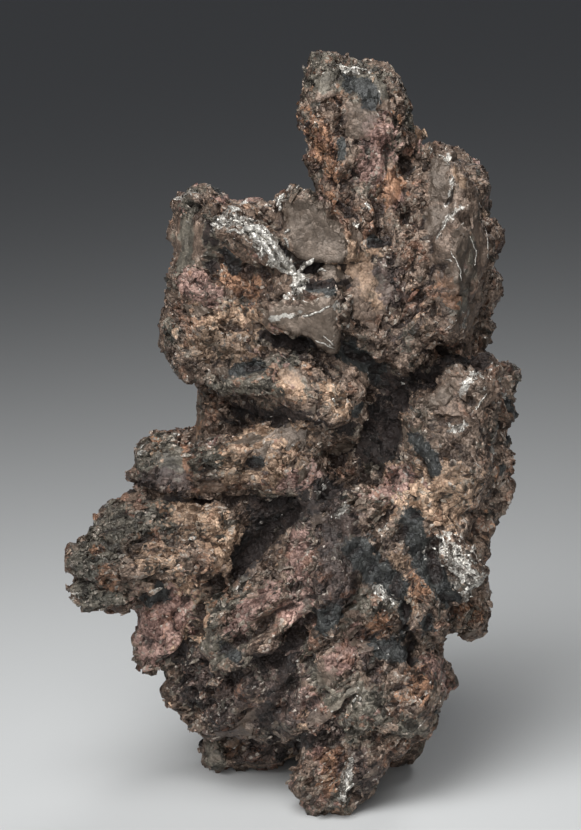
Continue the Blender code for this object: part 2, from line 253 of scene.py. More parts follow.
def inside_outline(outline):
    """How far inside a closed outline in the frame each place is, in pixels, negative outside."""
    outline = np.array(outline, float)
    across, down = places.T
    inside = np.zeros(len(places), bool)
    distance = np.full(len(places), np.inf)
    for (x0, y0), (x1, y1) in zip(outline, np.roll(outline, -1, 0)):
        crosses = (y0 > down) != (y1 > down)
        with np.errstate(divide="ignore", invalid="ignore"):
            inside ^= crosses & (across < (x1 - x0) * (down - y0) / (y1 - y0) + x0)
        run = np.array([x1 - x0, y1 - y0])
        share = ((across - x0) * run[0] + (down - y0) * run[1]) / max(run @ run, NO_LENGTH)
        share = np.clip(share, 0, 1)
        gap = np.hypot(across - x0 - share * run[0], down - y0 - share * run[1])
        distance = np.minimum(distance, gap)
    return np.where(inside, distance, -distance)


def on_front(outline):
    """Which points of the skin lie inside an outline and are seen from the front."""
    return (inside_outline(outline) > 0) & (seen > 0.5)


def smooth_step(values, low, high):
    """0 below low, 1 above high, and an even S between them."""
    share = np.clip((values - low) / (high - low), 0, 1)
    return share * share * (3 - 2 * share)


middle = on_surface((FRAME_WIDTH / 2, FRAME_HEIGHT / 2))
print("the middle of the frame meets the skin at", [round(part / MM, 1) for part in middle], "mm")

# %% [markdown]
# ## Plates, ledges, ridges and cracks
#
# A crystal of this ore breaks and etches in flat plates with stepped edges, and acid eats the
# softer ore between them. Five kinds of mark carve that. A plate presses the skin towards a
# plane. A ledge lifts one side of a line and lets the lift fade behind it. A ridge is a lift
# along a line, a crack is a cut along one, and a pit is a short, deep cut. Each mark has a name,
# its places in the frame, and its size in millimetres.
#
# Some faces are too large and too uneven to be one plate. They are only kept calm: less rubble
# and fewer grains grow there later, and more of the bare metal shows.

# %% Plates
# name: (outline, how bare the metal is)
PLATES = {
    "brow": ([(283, 208), (298, 197), (318, 204), (332, 218), (348, 234), (350, 252), (345, 262),
              (308, 262),
              (296, 256), (288, 240)], 0.9),
    "flake": ([(318, 268), (332, 266), (344, 270), (340, 279), (322, 281)], 0.9),
    "shield": ([(262, 318), (272, 304), (300, 302), (330, 300), (334, 322), (340, 344),
                (330, 352), (304, 340)], 0.9),
    "right_top": ([(428, 160), (438, 151), (449, 166), (453, 188), (446, 205), (430, 201)], 0.8),
    "right_middle": ([(424, 206), (461, 206), (452, 222), (437, 240), (426, 232)], 0.8),
    "right_lower": ([(440, 245), (466, 225), (478, 250), (470, 290), (448, 300), (436, 275)], 0.6),
    "neck": ([(347, 262), (386, 268), (392, 300), (376, 330), (352, 318), (346, 290)], 0.4),
    "tan_step": ([(388, 172), (404, 178), (402, 200), (388, 206)], 0.3),
    "right_edge": ([(470, 214), (484, 226), (488, 262), (480, 280), (470, 262)], 0.4),
    "right_low": ([(444, 304), (466, 296), (478, 306), (470, 328), (452, 330)], 0.4),
    "tower": ([(343, 100), (374, 98), (378, 120), (368, 142), (346, 138)], 0.55),
    "tower_patch": ([(352, 76), (380, 76), (384, 92), (372, 102), (356, 96)], 0.2),
    "arm_tip": ([(152, 454), (186, 452), (192, 470), (188, 488), (158, 482)], 0.1),
    "shoulder": ([(424, 398), (448, 382), (462, 384), (452, 400), (430, 410)], 0.6),
    "shoulder_tip": ([(478, 380), (496, 378), (492, 400), (480, 412)], 0.4),
    "left_face": ([(176, 215), (205, 225), (222, 250), (214, 276), (184, 262), (172, 240)], 0.2),
    "lower": ([(312, 668), (326, 660), (338, 668), (334, 684), (318, 690)], 0.5),
    "toe": ([(204, 746), (216, 742), (223, 752), (219, 768), (206, 764)], 0.5),
}
# name: (outline, how bare the metal is, how calm)
CALM_FACES = {
    "right_slab": ([(424, 200), (430, 160), (448, 150), (468, 162), (484, 198), (489, 240),
                    (486, 300), (470, 336),
                    (448, 330), (434, 290), (426, 246)], 0.42, 0.75),
    "neck": ([(345, 244), (384, 240), (390, 300), (376, 330), (352, 318), (345, 280)], 0.3, 0.6),
    "brow": ([(268, 206), (300, 196), (334, 214), (350, 250), (340, 262), (300, 262)], 0.5, 0.6),
    "shoulder": ([(412, 400), (450, 376), (494, 376), (486, 430), (474, 462), (444, 458),
                  (424, 430)], 0.45, 0.35),
    "ridge": ([(322, 524), (346, 512), (364, 532), (368, 566), (352, 598), (328, 588),
               (318, 556)], 0.0, 0.6),
}
PRESS_EDGE, LOOK_EDGE = (-2, 7), (-4, 6)  # pixels inside the outline where each starts and is full
PRESS_REACH = 1.6 * MM
LEAST_POINTS = 12


def press_plate(outline):
    """Moves the skin inside an outline towards its own plane, up to PRESS_REACH."""
    chosen = on_front(outline)
    if chosen.sum() < LEAST_POINTS:
        return
    weight = smooth_step(inside_outline(outline), *PRESS_EDGE) * seen
    middle = np.median(net.points[chosen], axis=0)
    facing = np.median(base_normals[chosen], axis=0)
    facing /= np.linalg.norm(facing)
    offset = np.clip((net.points - middle) @ facing, -PRESS_REACH, PRESS_REACH)
    net.points -= weight[:, None] * offset[:, None] * facing


for outline, _ in PLATES.values():
    press_plate(outline)
plate_mask, bare_metal = np.zeros(len(net.points)), np.zeros(len(net.points))
plate_faces = [(outline, bareness, 1.0) for outline, bareness in PLATES.values()]
for outline, bareness, calmness in [*plate_faces, *CALM_FACES.values()]:
    inside = smooth_step(inside_outline(outline), *LOOK_EDGE) * seen
    plate_mask = np.maximum(plate_mask, inside * calmness)
    bare_metal = np.maximum(bare_metal, inside * bareness)
print("pressed", len(PLATES), "plates and kept", len(CALM_FACES), "large faces calm")

# %% The places of ledges, ridges, cracks and pits
# name: (places, width in mm, height or depth in mm)
LEDGES = {
    "brow_lip": ([(345, 262), (304, 262), (290, 250)], 2.6, 0.7),
    "ledge_edge": ([(300, 398), (262, 386), (214, 386)], 2.2, 0.8),
    "right_step": ([(437, 241), (446, 222), (462, 207)], 2.4, 0.6),
    "right_rim": ([(452, 205), (454, 180), (447, 158), (432, 150)], 1.8, 0.7),
    "shield_lip": ([(352, 300), (335, 350), (304, 340), (262, 322)], 2.4, 0.8),
    "shoulder_1": ([(500, 372), (452, 382), (408, 416)], 2.2, 0.6),
    "shoulder_2": ([(494, 392), (454, 402), (414, 432)], 2.0, 0.5),
    "shoulder_3": ([(470, 430), (446, 448), (410, 456)], 2.0, 0.6),
    "arm_lip": ([(196, 492), (160, 486), (136, 478)], 2.2, 0.7),
    "tower_rim": ([(392, 92), (382, 74), (352, 68), (322, 70)], 2.0, 0.5),
    "slope_edge": ([(206, 606), (250, 568), (292, 528), (330, 497)], 2.6, 0.6),
    "ridge_left": ([(316, 592), (316, 556), (322, 522), (346, 506)], 2.2, 0.6),
    "foot_edge": ([(300, 790), (292, 768), (298, 745)], 1.8, 0.5),
    "neck_edge": ([(388, 330), (396, 296), (390, 262)], 2.0, 0.6),
}
RIDGES = {
    "silver_ridge": ([(222, 210), (240, 226), (262, 250), (284, 268)], 1.7, 0.9),
    "brow_top": ([(268, 200), (290, 196), (302, 200)], 1.2, 0.4),
    "shoulder_crest": ([(462, 392), (474, 376), (496, 380)], 1.2, 0.5),
    "silver_lobe": ([(452, 552), (468, 572), (474, 586)], 2.2, 0.5),
    "knob": ([(364, 208), (366, 216)], 1.3, 0.9),
    "foot_crest": ([(352, 752), (348, 772), (342, 800)], 1.2, 0.4),
    "rib_1": ([(232, 622), (262, 612)], 0.7, 0.4),
    "rib_2": ([(236, 634), (270, 622)], 0.7, 0.4),
    "rib_3": ([(240, 646), (276, 633)], 0.7, 0.4),
    "tower_spine": ([(330, 110), (336, 150), (350, 190)], 1.3, 0.4),
    "fold_1": ([(216, 636), (246, 610), (280, 588), (306, 560)], 1.7, 0.6),
    "fold_2": ([(222, 668), (254, 650), (286, 624)], 1.4, 0.5),
    "fold_3": ([(290, 722), (302, 690), (322, 660), (342, 636)], 1.5, 0.7),
    "fold_4": ([(350, 724), (376, 696), (410, 672), (438, 660)], 1.5, 0.5),
    "fold_5": ([(214, 722), (240, 700), (262, 676)], 1.5, 0.5),
    "waist_fold": ([(366, 520), (384, 492), (408, 478), (446, 486)], 1.4, 0.5),
}
CRACKS = {
    "under_brow": ([(306, 266), (320, 265), (348, 263)], 0.7, 0.4),
    "brow_hollow": ([(300, 284), (318, 287), (352, 284)], 0.9, 0.6),
    "beside_ridge": ([(270, 232), (280, 244), (292, 258)], 0.7, 0.4),
    "left_hollow": ([(214, 246), (210, 262), (214, 276)], 0.9, 0.7),
    "left_seam": ([(206, 224), (220, 240), (226, 262)], 0.8, 0.6),
    "tower_seam": ([(392, 262), (382, 210), (392, 150)], 0.9, 0.6),
    "arm_seam": ([(136, 488), (200, 497), (262, 506), (330, 494)], 1.0, 0.6),
    "slope_seam": ([(330, 490), (290, 516), (256, 552), (234, 590)], 1.3, 0.9),
    "deep_seam": ([(398, 396), (388, 440), (372, 476)], 1.3, 0.9),
    "under_ledge": ([(210, 398), (268, 402), (330, 428), (372, 420)], 1.2, 0.9),
    "right_seam": ([(424, 160), (420, 205), (430, 250)], 0.9, 0.7),
    "lobe_seam": ([(432, 548), (436, 580), (458, 600), (478, 604)], 1.1, 0.9),
    "foot_seam": ([(264, 764), (300, 744), (352, 738), (400, 742)], 1.3, 0.8),
    "mass_seam": ([(300, 640), (316, 680), (306, 740)], 1.2, 0.7),
    "column_seam": ([(400, 560), (398, 600), (416, 650)], 1.0, 0.6),
    "fold_seam_1": ([(202, 668), (224, 650), (254, 634), (286, 608), (308, 594)], 1.2, 0.8),
    "fold_seam_2": ([(208, 700), (240, 676), (276, 662), (300, 634), (312, 604)], 1.3, 0.9),
    "fold_seam_3": ([(274, 742), (284, 700), (304, 664), (336, 640), (356, 606)], 1.2, 0.7),
    "fold_seam_4": ([(322, 736), (344, 702), (368, 680), (392, 662)], 1.0, 0.6),
    "side_lobe_seam": ([(174, 656), (196, 634), (204, 602), (216, 580)], 1.2, 0.9),
    "waist_seam": ([(398, 470), (372, 500), (352, 506)], 1.0, 0.7),
}
PITS = {
    "tower_pit": ([(316, 163), (314, 170)], 1.0, 1.5),
    "tower_low_pit": ([(328, 204)], 0.9, 1.1),
    "oval_pit": ([(372, 240), (384, 240)], 0.9, 0.8),
    "shield_pit": ([(282, 336), (304, 346)], 1.2, 1.1),
    "neck_pit": ([(352, 360), (366, 364)], 1.2, 0.9),
    "lower_pit_1": ([(406, 608), (406, 636)], 0.8, 1.5),
    "lower_pit_2": ([(429, 620), (427, 642)], 0.7, 1.4),
    "lower_pit_3": ([(418, 650), (412, 662)], 0.7, 1.3),
    "lower_pit_4": ([(398, 668)], 0.6, 0.8),
    "mass_hollow": ([(256, 662), (284, 668)], 1.4, 0.9),
    "left_hollow_low": ([(178, 668), (196, 690)], 1.4, 0.6),
    "arm_pit": ([(250, 462), (256, 466)], 0.8, 0.6),
    "left_pit": ([(258, 364), (246, 368)], 0.9, 0.9),
    "arm_root_pit": ([(352, 500), (372, 478)], 1.2, 1.2),
}
print(len(LEDGES) + len(RIDGES), "ledges and ridges,", len(CRACKS) + len(PITS), "cracks and pits")

# %% Carving them
LEDGE_LIP = 1.5  # pixels on either side of its line over which a ledge steps up
LEDGE_REACH = 2.5  # how many of its widths it reaches past its ends
LEDGE_ENDS = 0.3  # how suddenly it stops there: less is more sudden
CUT_FLOOR = 0.8  # a cut is at its full depth this close to its line


def beside_line(line):
    """How far each place is from a line in the frame, in pixels: to its right, and on any side."""
    line = np.array(line, float)
    best = np.full(len(places), np.inf)
    side = np.zeros(len(places))
    for start, end in zip(line, line[1:]):
        run = end - start
        share = np.clip((places - start) @ run / (run @ run), 0, 1)
        gap = places - start - share[:, None] * run
        distance = np.hypot(*gap.T)
        nearer = distance < best
        best = np.where(nearer, distance, best)
        side = np.where(nearer, np.sign(run[0] * gap[:, 1] - run[1] * gap[:, 0]) * distance, side)
    return side, best


lift = np.zeros(len(net.points))
for line, width, height in LEDGES.values():
    side, distance = beside_line(line)
    behind = np.clip(1 - distance / (width * PIXELS_PER_MM), 0, 1)
    ends = near_line(line, LEDGE_REACH * width) ** LEDGE_ENDS
    lift += height * smooth_step(side, -LEDGE_LIP, LEDGE_LIP) * behind * ends * seen
for line, width, height in RIDGES.values():
    lift += height * smooth_step(near_line(line, width), 0, 1)
for line, width, depth in [*CRACKS.values(), *PITS.values()]:
    lift -= depth * smooth_step(near_line(line, width), 0, CUT_FLOOR)
print("carved from", round(float(lift.min()), 1), "to", round(float(lift.max()), 1), "mm")

# %% [markdown]
# ## Colour zones
#
# The colours of this ore come from its history: a brown-grey tarnish on the metal, blue-black
# sulphide in hollows, copper and tan iron stains in the crumbly ore, a pink blush, and bare
# silver where edges were rubbed. Each is a zone, a number from 0 to 1 at each point that is 0.5
# at the zone's edge. The named zones lie on the front, and noise lays the same kinds in like
# amounts on the other sides. The material frays the edges finely.
#
# Tarnish also differs in thickness, and light and shade are painted in with it. Neither is another
# colour, so they share a table of their own, which says how much darker or lighter the ore is at a
# place, whatever zone it is in.

# %% Named zones
# kind: {name: (places, width in mm)}
ZONES = {
    "silver": {
        "ridge": ([(220, 222), (236, 217), (254, 228), (268, 242), (284, 262)], 0.7),
        "ridge_foot": ([(284, 262), (300, 276), (296, 292)], 0.66),
        "tower_top": ([(334, 64), (350, 68), (370, 68)], 0.29),
        "tower_corner": ([(384, 70), (395, 84)], 0.29),
        "right_edge": ([(430, 152), (448, 158), (452, 184), (446, 204)], 0.25),
        "step_edge": ([(461, 208), (446, 222), (437, 241)], 0.25),
        "shield_top": ([(272, 318), (300, 312), (334, 306)], 0.33),
        "shield_edge": ([(350, 300), (335, 350)], 0.29),
        "shoulder": ([(464, 390), (476, 374), (498, 380)], 0.36),
        "shoulder_patch": ([(450, 430), (466, 426)], 0.28),
        "lobe": ([(446, 548), (462, 566), (474, 586)], 1.4),
        "arm_tip": ([(150, 440), (176, 436)], 0.47),
        "flank": ([(236, 584), (246, 580)], 0.21),
        "ridge_side": ([(346, 505), (338, 516)], 0.29),
        "mass": ([(376, 588), (392, 604)], 0.3),
        "foot": ([(352, 758), (348, 774), (342, 796)], 0.36),
        "knob": ([(365, 208)], 0.29),
        "left_brow": ([(176, 200), (196, 192)], 0.36),
        "brow_top": ([(268, 204), (284, 198)], 0.36),
        "right_low": ([(470, 312), (462, 328)], 0.25),
    },
    "blue_black": {
        "tower": ([(352, 84), (366, 86), (372, 100)], 0.99),
        "tower_pit": ([(316, 165)], 0.56),
        "tower_seam": ([(340, 140), (342, 158)], 0.43),
        "oval": ([(372, 240), (384, 240)], 0.62),
        "shield": ([(276, 330), (290, 340), (304, 346)], 0.87),
        "neck": ([(346, 352), (362, 362), (380, 374)], 1.2),
        "left": ([(236, 370), (258, 364)], 0.74),
        "arm": ([(252, 462), (260, 462)], 0.56),
        "shoulder": ([(416, 438), (430, 458), (432, 468)], 0.81),
        "right_edge": ([(508, 402), (508, 440), (500, 470)], 0.56),
        "lobe_side": ([(412, 520), (418, 548), (430, 572), (450, 594)], 1.2),
        "ridge_side": ([(356, 548), (376, 570), (398, 590)], 1.4),
        "mass_oval": ([(314, 622), (336, 616)], 1.2),
        "mass_right": ([(380, 648), (402, 652)], 1.1),
        "mass_pit_1": ([(404, 606), (406, 636)], 0.68),
        "mass_pit_2": ([(428, 620), (427, 640)], 0.62),
        "mass_pit_3": ([(414, 658)], 0.62),
        "arm_under": ([(148, 600), (162, 596)], 0.81),
        "brow_seam": ([(264, 232), (286, 258)], 0.56),
        "brow_hollow": ([(300, 284), (330, 290)], 0.68),
        "front_seam": ([(226, 252), (236, 268)], 0.68),
        "deep": ([(372, 448), (396, 432)], 0.74),
        "flank": ([(222, 648), (236, 656)], 0.62),
        "ledge": ([(355, 415), (362, 406)], 0.5),
    },
    "grey": {
        "tower_top": ([(320, 68), (345, 66), (366, 80)], 2.4),
        "tower_side": ([(400, 88), (412, 120)], 1.4),
        "left_column": ([(186, 198), (186, 240), (184, 262)], 1.5),
        "left_low": ([(172, 330), (168, 366)], 1.2),
        "left_hollow": ([(210, 226), (212, 262)], 0.9),
        "ledge": ([(214, 390), (250, 382), (300, 390)], 1.2),
        "ledge_mid": ([(262, 366), (290, 362)], 1.0),
        "arm_tip": ([(140, 468), (168, 446), (190, 462)], 1.9),
        "arm_patch": ([(212, 460), (230, 466)], 1.2),
        "lower_arm_tip": ([(88, 562), (100, 532), (130, 516), (162, 520)], 2.5),
        "lower_arm_low": ([(84, 590), (110, 604)], 1.6),
        "flank": ([(208, 640), (216, 606), (240, 584)], 1.5),
        "flank_low": ([(206, 634), (220, 650)], 1.3),
        "mass": ([(360, 600), (386, 604)], 1.6),
        "mass_low": ([(350, 700), (372, 712), (352, 728)], 2.0),
        "foot_tip": ([(342, 780), (340, 806)], 1.3),
        "toe": ([(210, 746), (212, 764)], 1.4),
        "right_slab": ([(468, 250), (462, 300)], 1.8),
        "right_low": ([(412, 732), (424, 750)], 1.5),
        "mid": ([(296, 640), (330, 700)], 0.8),
    },
    "copper": {
        "left": ([(226, 272), (252, 290)], 1.3),
        "tower": ([(312, 128), (320, 150), (328, 172)], 1.4),
        "tower_low": ([(330, 212), (326, 196)], 0.81),
        "neck": ([(384, 196), (398, 178)], 1.1),
        "arm": ([(184, 442), (188, 480)], 0.42),
        "arm_tip": ([(106, 572), (112, 588)], 0.9),
        "arm_spot": ([(95, 550)], 0.72),
        "mass": ([(418, 588), (424, 570)], 1.3),
        "mass_low": ([(384, 620), (376, 632)], 0.99),
        "right_nub": ([(456, 606), (480, 616)], 0.7),
        "low_right": ([(424, 684), (440, 712)], 1.6),
        "foot": ([(330, 756), (328, 786)], 0.9),
        "left_foot": ([(236, 748), (246, 740)], 0.9),
        "right": ([(446, 284), (454, 300)], 0.99),
    },
    "tan": {
        "left": ([(206, 312), (232, 320), (258, 326)], 2.1),
        "left_low": ([(200, 340), (240, 352)], 1.6),
        "neck": ([(350, 256), (372, 262), (384, 290)], 1.9),
        "arm": ([(246, 440), (262, 436), (292, 430)], 1.8),
        "arm_low": ([(238, 470), (290, 470)], 1.8),
        "lower_arm": ([(186, 512), (216, 530), (236, 548)], 2.2),
        "lower_arm_low": ([(152, 552), (168, 560)], 1.5),
        "side_lobe": ([(180, 588), (192, 616), (176, 640)], 2.0),
        "waist": ([(388, 480), (420, 490), (450, 510)], 2.2),
        "shoulder_foot": ([(440, 476), (476, 488)], 1.5),
        "mass": ([(400, 560), (412, 600)], 1.0),
        "ledge": ([(286, 376), (296, 392)], 1.0),
        "ledge_right": ([(330, 392), (342, 408)], 1.0),
        "front_low": ([(292, 696), (306, 716)], 1.2),
        "right_top": ([(456, 170), (462, 182)], 0.6),
    },
    "pink": {
        "tower": ([(376, 128), (384, 152)], 1.5),
        "tower_low": ([(370, 170), (392, 196)], 1.2),
        "side_lobe": ([(148, 622), (156, 648), (170, 610)], 2.2),
        "slope": ([(300, 540), (306, 580), (296, 610)], 1.6),
        "slope_low": ([(270, 592), (250, 606), (236, 630)], 1.0),
        "waist": ([(378, 486), (400, 478)], 1.5),
        "front": ([(292, 690), (310, 702)], 1.4),
        "foot": ([(322, 752), (330, 770)], 1.0),
        "low_right": ([(430, 670), (444, 690)], 1.4),
        "left": ([(190, 280), (210, 296)], 1.4),
        "arm": ([(290, 486), (316, 478)], 1.2),
        "brow": ([(220, 196), (250, 200)], 0.9),
        "mass": ([(356, 640), (340, 664)], 1.3),
    },
    "purple": {
        "mass": ([(190, 664), (230, 690), (284, 664), (284, 700), (262, 720)], 2.4),
        "front": ([(312, 720), (330, 736)], 1.2),
        "column": ([(360, 640), (376, 668)], 1.0),
        "foot_side": ([(360, 760), (368, 790)], 1.0),
        "neck": ([(386, 266), (394, 300)], 1.3),
        "arm_tip": ([(148, 478), (182, 482)], 1.2),
        "left_foot": ([(222, 710), (256, 750)], 2.1),
        "ridge": ([(336, 520), (344, 556), (338, 592)], 2.3),
        "slope": ([(300, 520), (320, 510)], 0.96),
        "lower_left": ([(190, 690), (206, 706)], 1.6),
        "foot": ([(376, 768), (362, 780)], 0.96),
    },
    # painted shade: a dark colour laid into the deep gaps, under the ledges and in hollows, where
    # shade falls
    "painted_shade": {
        "wedge": ([(336, 488), (300, 506), (262, 530), (240, 560)], 1.5),
        "wedge_deep": ([(262, 510), (290, 520), (252, 550)], 1.3),
        "gap": ([(400, 388), (384, 416), (372, 448), (386, 446)], 1.9),
        "gap_top": ([(404, 384), (440, 366), (480, 360)], 1.0),
        "under_ledge": ([(196, 400), (236, 412), (300, 418), (350, 430)], 1.1),
        "under_brow": ([(306, 265), (344, 264)], 0.3),
        "under_flake": ([(305, 284), (330, 283), (352, 284)], 0.4),
        "under_shield": ([(268, 334), (288, 342), (306, 350)], 0.9),
        "left_hollow": ([(210, 226), (208, 250), (214, 266)], 0.6),
        "under_arm": ([(136, 492), (180, 496), (210, 500)], 0.7),
        "mass": ([(256, 664), (284, 668)], 1.1),
        "slot_1": ([(406, 608), (406, 636)], 0.45),
        "slot_2": ([(429, 620), (427, 642)], 0.4),
        "slot_3": ([(418, 650), (412, 662)], 0.4),
        "left_mass": ([(172, 656), (188, 684), (196, 700)], 1.0),
        "front_mass": ([(262, 716), (276, 744)], 0.9),
        "mass_band": ([(296, 644), (280, 690), (266, 706)], 0.7),
        "foot_seam": ([(284, 756), (300, 742), (312, 738)], 0.8),
    },
}
print(sum(map(len, ZONES.values())), "named places of", len(ZONES), "kinds")

# %% Thick and thin tarnish, and painted light and shade
# name: (places, width in mm, how much darker, less than 0 where it is lighter): more than 0 where
# the tarnish is thick or shade is painted in, less than 0 where it is thin or light is painted in
TARNISH_AND_PAINTED_LIGHT = {
    "tower_top": ([(330, 80), (368, 82), (372, 112)], 4.0, 0.2),
    "slab_edge": ([(434, 160), (446, 200), (440, 250), (446, 320)], 3.0, 0.26),
    "left_block": ([(184, 346), (260, 350), (306, 352)], 4.0, 0.32),
    "left_spot": ([(208, 314), (230, 320)], 2.0, -0.3),
    "neck": ([(362, 262), (366, 330)], 4.0, 0.12),
    "brow": ([(290, 215), (330, 240)], 4.5, 0.11),
    "brow_left": ([(190, 200), (230, 206)], 3.5, 0.2),
    "arm_tip": ([(150, 465), (188, 470)], 4.0, 0.34),
    "mid_arm": ([(220, 472), (320, 468)], 3.5, 0.32),
    "lower_arm": ([(90, 562), (124, 534), (170, 534)], 5.5, 0.42),
    "lower_arm_spot": ([(208, 526), (224, 536)], 2.4, -0.3),
    "shoulder": ([(430, 440), (480, 392)], 5.5, 0.2),
    "shoulder_low": ([(450, 466), (474, 470)], 3.5, 0.2),
    "slope": ([(222, 620), (258, 592), (300, 570)], 4.0, 0.16),
    "ridge": ([(336, 524), (342, 590)], 4.0, 0.48),
    "foot": ([(318, 800), (345, 760)], 4.0, 0.2),
    "mass_right": ([(376, 590), (420, 640), (396, 700)], 5.0, 0.14),
    "wedge": ([(332, 492), (290, 508), (250, 532), (236, 562)], 2.4, 0.4),
    "gap": ([(396, 440), (378, 462), (366, 440)], 2.2, 0.3),
    "left_foot": ([(226, 720), (250, 764)], 5.0, 0.3),
    "waist": ([(420, 500), (450, 500), (474, 524)], 4.5, -0.3),
    "side_lobe": ([(160, 600), (166, 634)], 3.0, -0.2),
    "side_lobe_top": ([(196, 566), (200, 626)], 3.5, -0.25),
    "low_left": ([(176, 680), (190, 740)], 4.5, -0.45),
    "tower_blush": ([(376, 132), (386, 152), (390, 190)], 1.6, -0.3),
    "tower_side": ([(312, 126), (318, 160)], 2.0, -0.25),
    "shield": ([(280, 314), (330, 322)], 3.5, -0.22),
    "ledge": ([(250, 372), (330, 390)], 4.5, -0.12),
    "mass": ([(270, 660), (330, 704)], 5.0, -0.16),
    "lobe_foot": ([(468, 600), (488, 620)], 3.0, -0.2),
    "left_slot": ([(222, 343), (240, 346), (240, 362)], 2.2, 0.45),
    "left_ledge": ([(270, 372), (284, 371)], 1.8, 0.3),
    "below_crust": ([(247, 269), (272, 274)], 2.4, -0.6),
    "crust_end": ([(299, 262)], 1.6, -0.5),
    "slope_crest": ([(299, 634), (290, 620)], 2.4, -0.8),
    "arm_root": ([(201, 532)], 2.0, 0.3),
    "side_lobe_low": ([(142, 662)], 2.0, 0.3),
    "side_lobe_crest": ([(204, 589), (185, 601)], 2.2, -0.5),
    "waist_top": ([(454, 474), (469, 484)], 2.2, 0.4),
    "waist_right": ([(468, 518)], 2.2, -0.5),
    "lobe_top": ([(436, 548)], 2.0, -0.5),
    "column": ([(398, 557)], 2.4, 0.45),
    "mass_middle": ([(359, 638)], 2.2, -0.6),
    "tower_middle": ([(368, 127)], 2.2, 0.3),
    "slab_foot": ([(414, 331)], 1.8, 0.35),
    "slab_low": ([(448, 302)], 2.0, 0.4),
    "slab_side": ([(412, 295)], 2.0, -0.6),
    "arm_block": ([(169, 466)], 2.0, 0.2),
    "ledge_shadow": ([(303, 433)], 2.0, 0.45),
    "foot_left": ([(287, 759)], 2.0, -0.8),
    "arm_under": ([(269, 496)], 1.8, -0.6),
}

LIGHTEST, DARKEST = -0.8, 0.55
UNEVEN, UNEVEN_SIZE = 0.22, 9.0  # the tarnish of the other sides: its swing, and its patches in mm


def evaluated(function, where=None):
    """A function of a place in millimetres, at every point of the net, or at other places."""
    where = net.points / MM if where is None else where
    return np.array([function(Vector(place)) for place in where])


def cloud(size, shift=(0, 0, 0), fade=0.9, ratio=2.0, octaves=3):
    """A field of soft noise with patches about `size` mm across, and finer ones in them."""
    shift = Vector(shift)
    return lambda place: noise.fractal(place / size + shift, fade, ratio, octaves)


# thick tarnish and painted shade add to it, thin tarnish and painted light take from it
tarnish_and_painted_light = np.zeros(len(net.points))
for line, width, darker in TARNISH_AND_PAINTED_LIGHT.values():
    tarnish_and_painted_light += darker * smooth_step(near_line(line, width), 0, 1)
tarnish_and_painted_light += UNEVEN * (1 - seen) * evaluated(cloud(UNEVEN_SIZE, octaves=2))
tarnish_and_painted_light = np.clip(tarnish_and_painted_light, LIGHTEST, DARKEST)
print("tarnish from", round(float(tarnish_and_painted_light.min()), 2), "to", round(float(tarnish_and_painted_light.max()), 2))

# %% Zones on every side
# kind: (share of the other sides, size of its patches in mm)
WILD_ZONES = {
    "silver": (0.03, 2.6),
    "blue_black": (0.07, 3.6),
    "grey": (0.2, 6.0),
    "copper": (0.07, 3.4),
    "tan": (0.15, 4.4),
    "pink": (0.11, 4.0),
    "purple": (0.10, 6.0),
    # painted shade: its dark colour, laid in small patches by noise on the other sides
    "painted_shade": (0.03, 5.0),
}
FRONT_SHARE = 0.35  # how much of the noise shows on the front, between the named zones
WILD_SHIFT = Vector((11.3, 5.7, 8.1))  # from the noise of one kind to that of the next
WILD_EDGE = 1.6  # how steeply a patch ends


def wild_zone(size, share, shift):
    """A zone made of noise that covers a share of the skin."""
    field = evaluated(cloud(size, shift, 0.7, 2.1))
    edge = np.quantile(field, 1 - share)
    return np.clip(0.5 + (field - edge) * WILD_EDGE, 0, 1)


zones = {}
for index, (kind, named) in enumerate(ZONES.items()):
    share, size = WILD_ZONES[kind]
    zone = wild_zone(size, share, WILD_SHIFT * (index + 1)) * (1 - (1 - FRONT_SHARE) * seen)
    for line, width in named.values():
        zone = np.maximum(zone, near_line(line, 2 * width))
    zones[kind] = zone
    print(kind, "covers", round(100 * float((zone > 0.5).mean()), 1), "% of the skin")
zones["tarnish_and_painted_light"] = tarnish_and_painted_light

# %% [markdown]
# ## The ore between the marks
#
# Between the named marks the ore is rubble: small crystals broken loose by the acid. Voronoi
# cells make it, because each cell of space gets its own slope, so the skin breaks into tilted
# facets with steps between them. The crystals lie in runs: upright in the tower, level in the
# arms, and slanting in the base. So the cells are stretched along the run that is nearest. A
# large noise field decides where the rubble is coarse. Plates and the blue-black sulphide stay
# calm.

# %% Runs of crystals
# name: (across and up in mm, reach in mm, degrees above level, how many times longer than wide)
RUNS = {
    "base": ((-2, 13), 19, 44, 2.6),
    "tower": ((7, 64), 12, 84, 1.4),
    "arms": ((-12, 30), 11, 12, 2.0),
    "shoulder": ((17, 38), 8, -38, 1.8),
    "right_slab": ((15, 54), 8, 68, 1.6),
    "left_block": ((-5, 53), 9, -34, 1.4),
    "lobe": ((16, 24), 5, -55, 1.5),
}
middles = np.array([middle for middle, *_ in RUNS.values()], float)
reaches = np.array([reach for _, reach, *_ in RUNS.values()], float)
angles = np.radians([angle for *_, angle, _ in RUNS.values()])
run_vectors = np.column_stack([np.cos(angles), np.zeros(len(angles)), np.sin(angles)])
stretches = np.array([stretch for *_, stretch in RUNS.values()])

sideways_up = net.points[:, [0, 2]] / MM
nearest_run = (np.linalg.norm(sideways_up[:, None] - middles, axis=2) / reaches).argmin(1)
run_of = run_vectors[nearest_run]
along_run = (net.points * run_of).sum(1) * (1 - 1 / stretches[nearest_run])
stretched = (net.points - along_run[:, None] * run_of) / MM
for name, share in zip(RUNS, np.bincount(nearest_run, minlength=len(RUNS)) / len(net.points)):
    print(name, "holds", round(100 * float(share)), "% of the points")

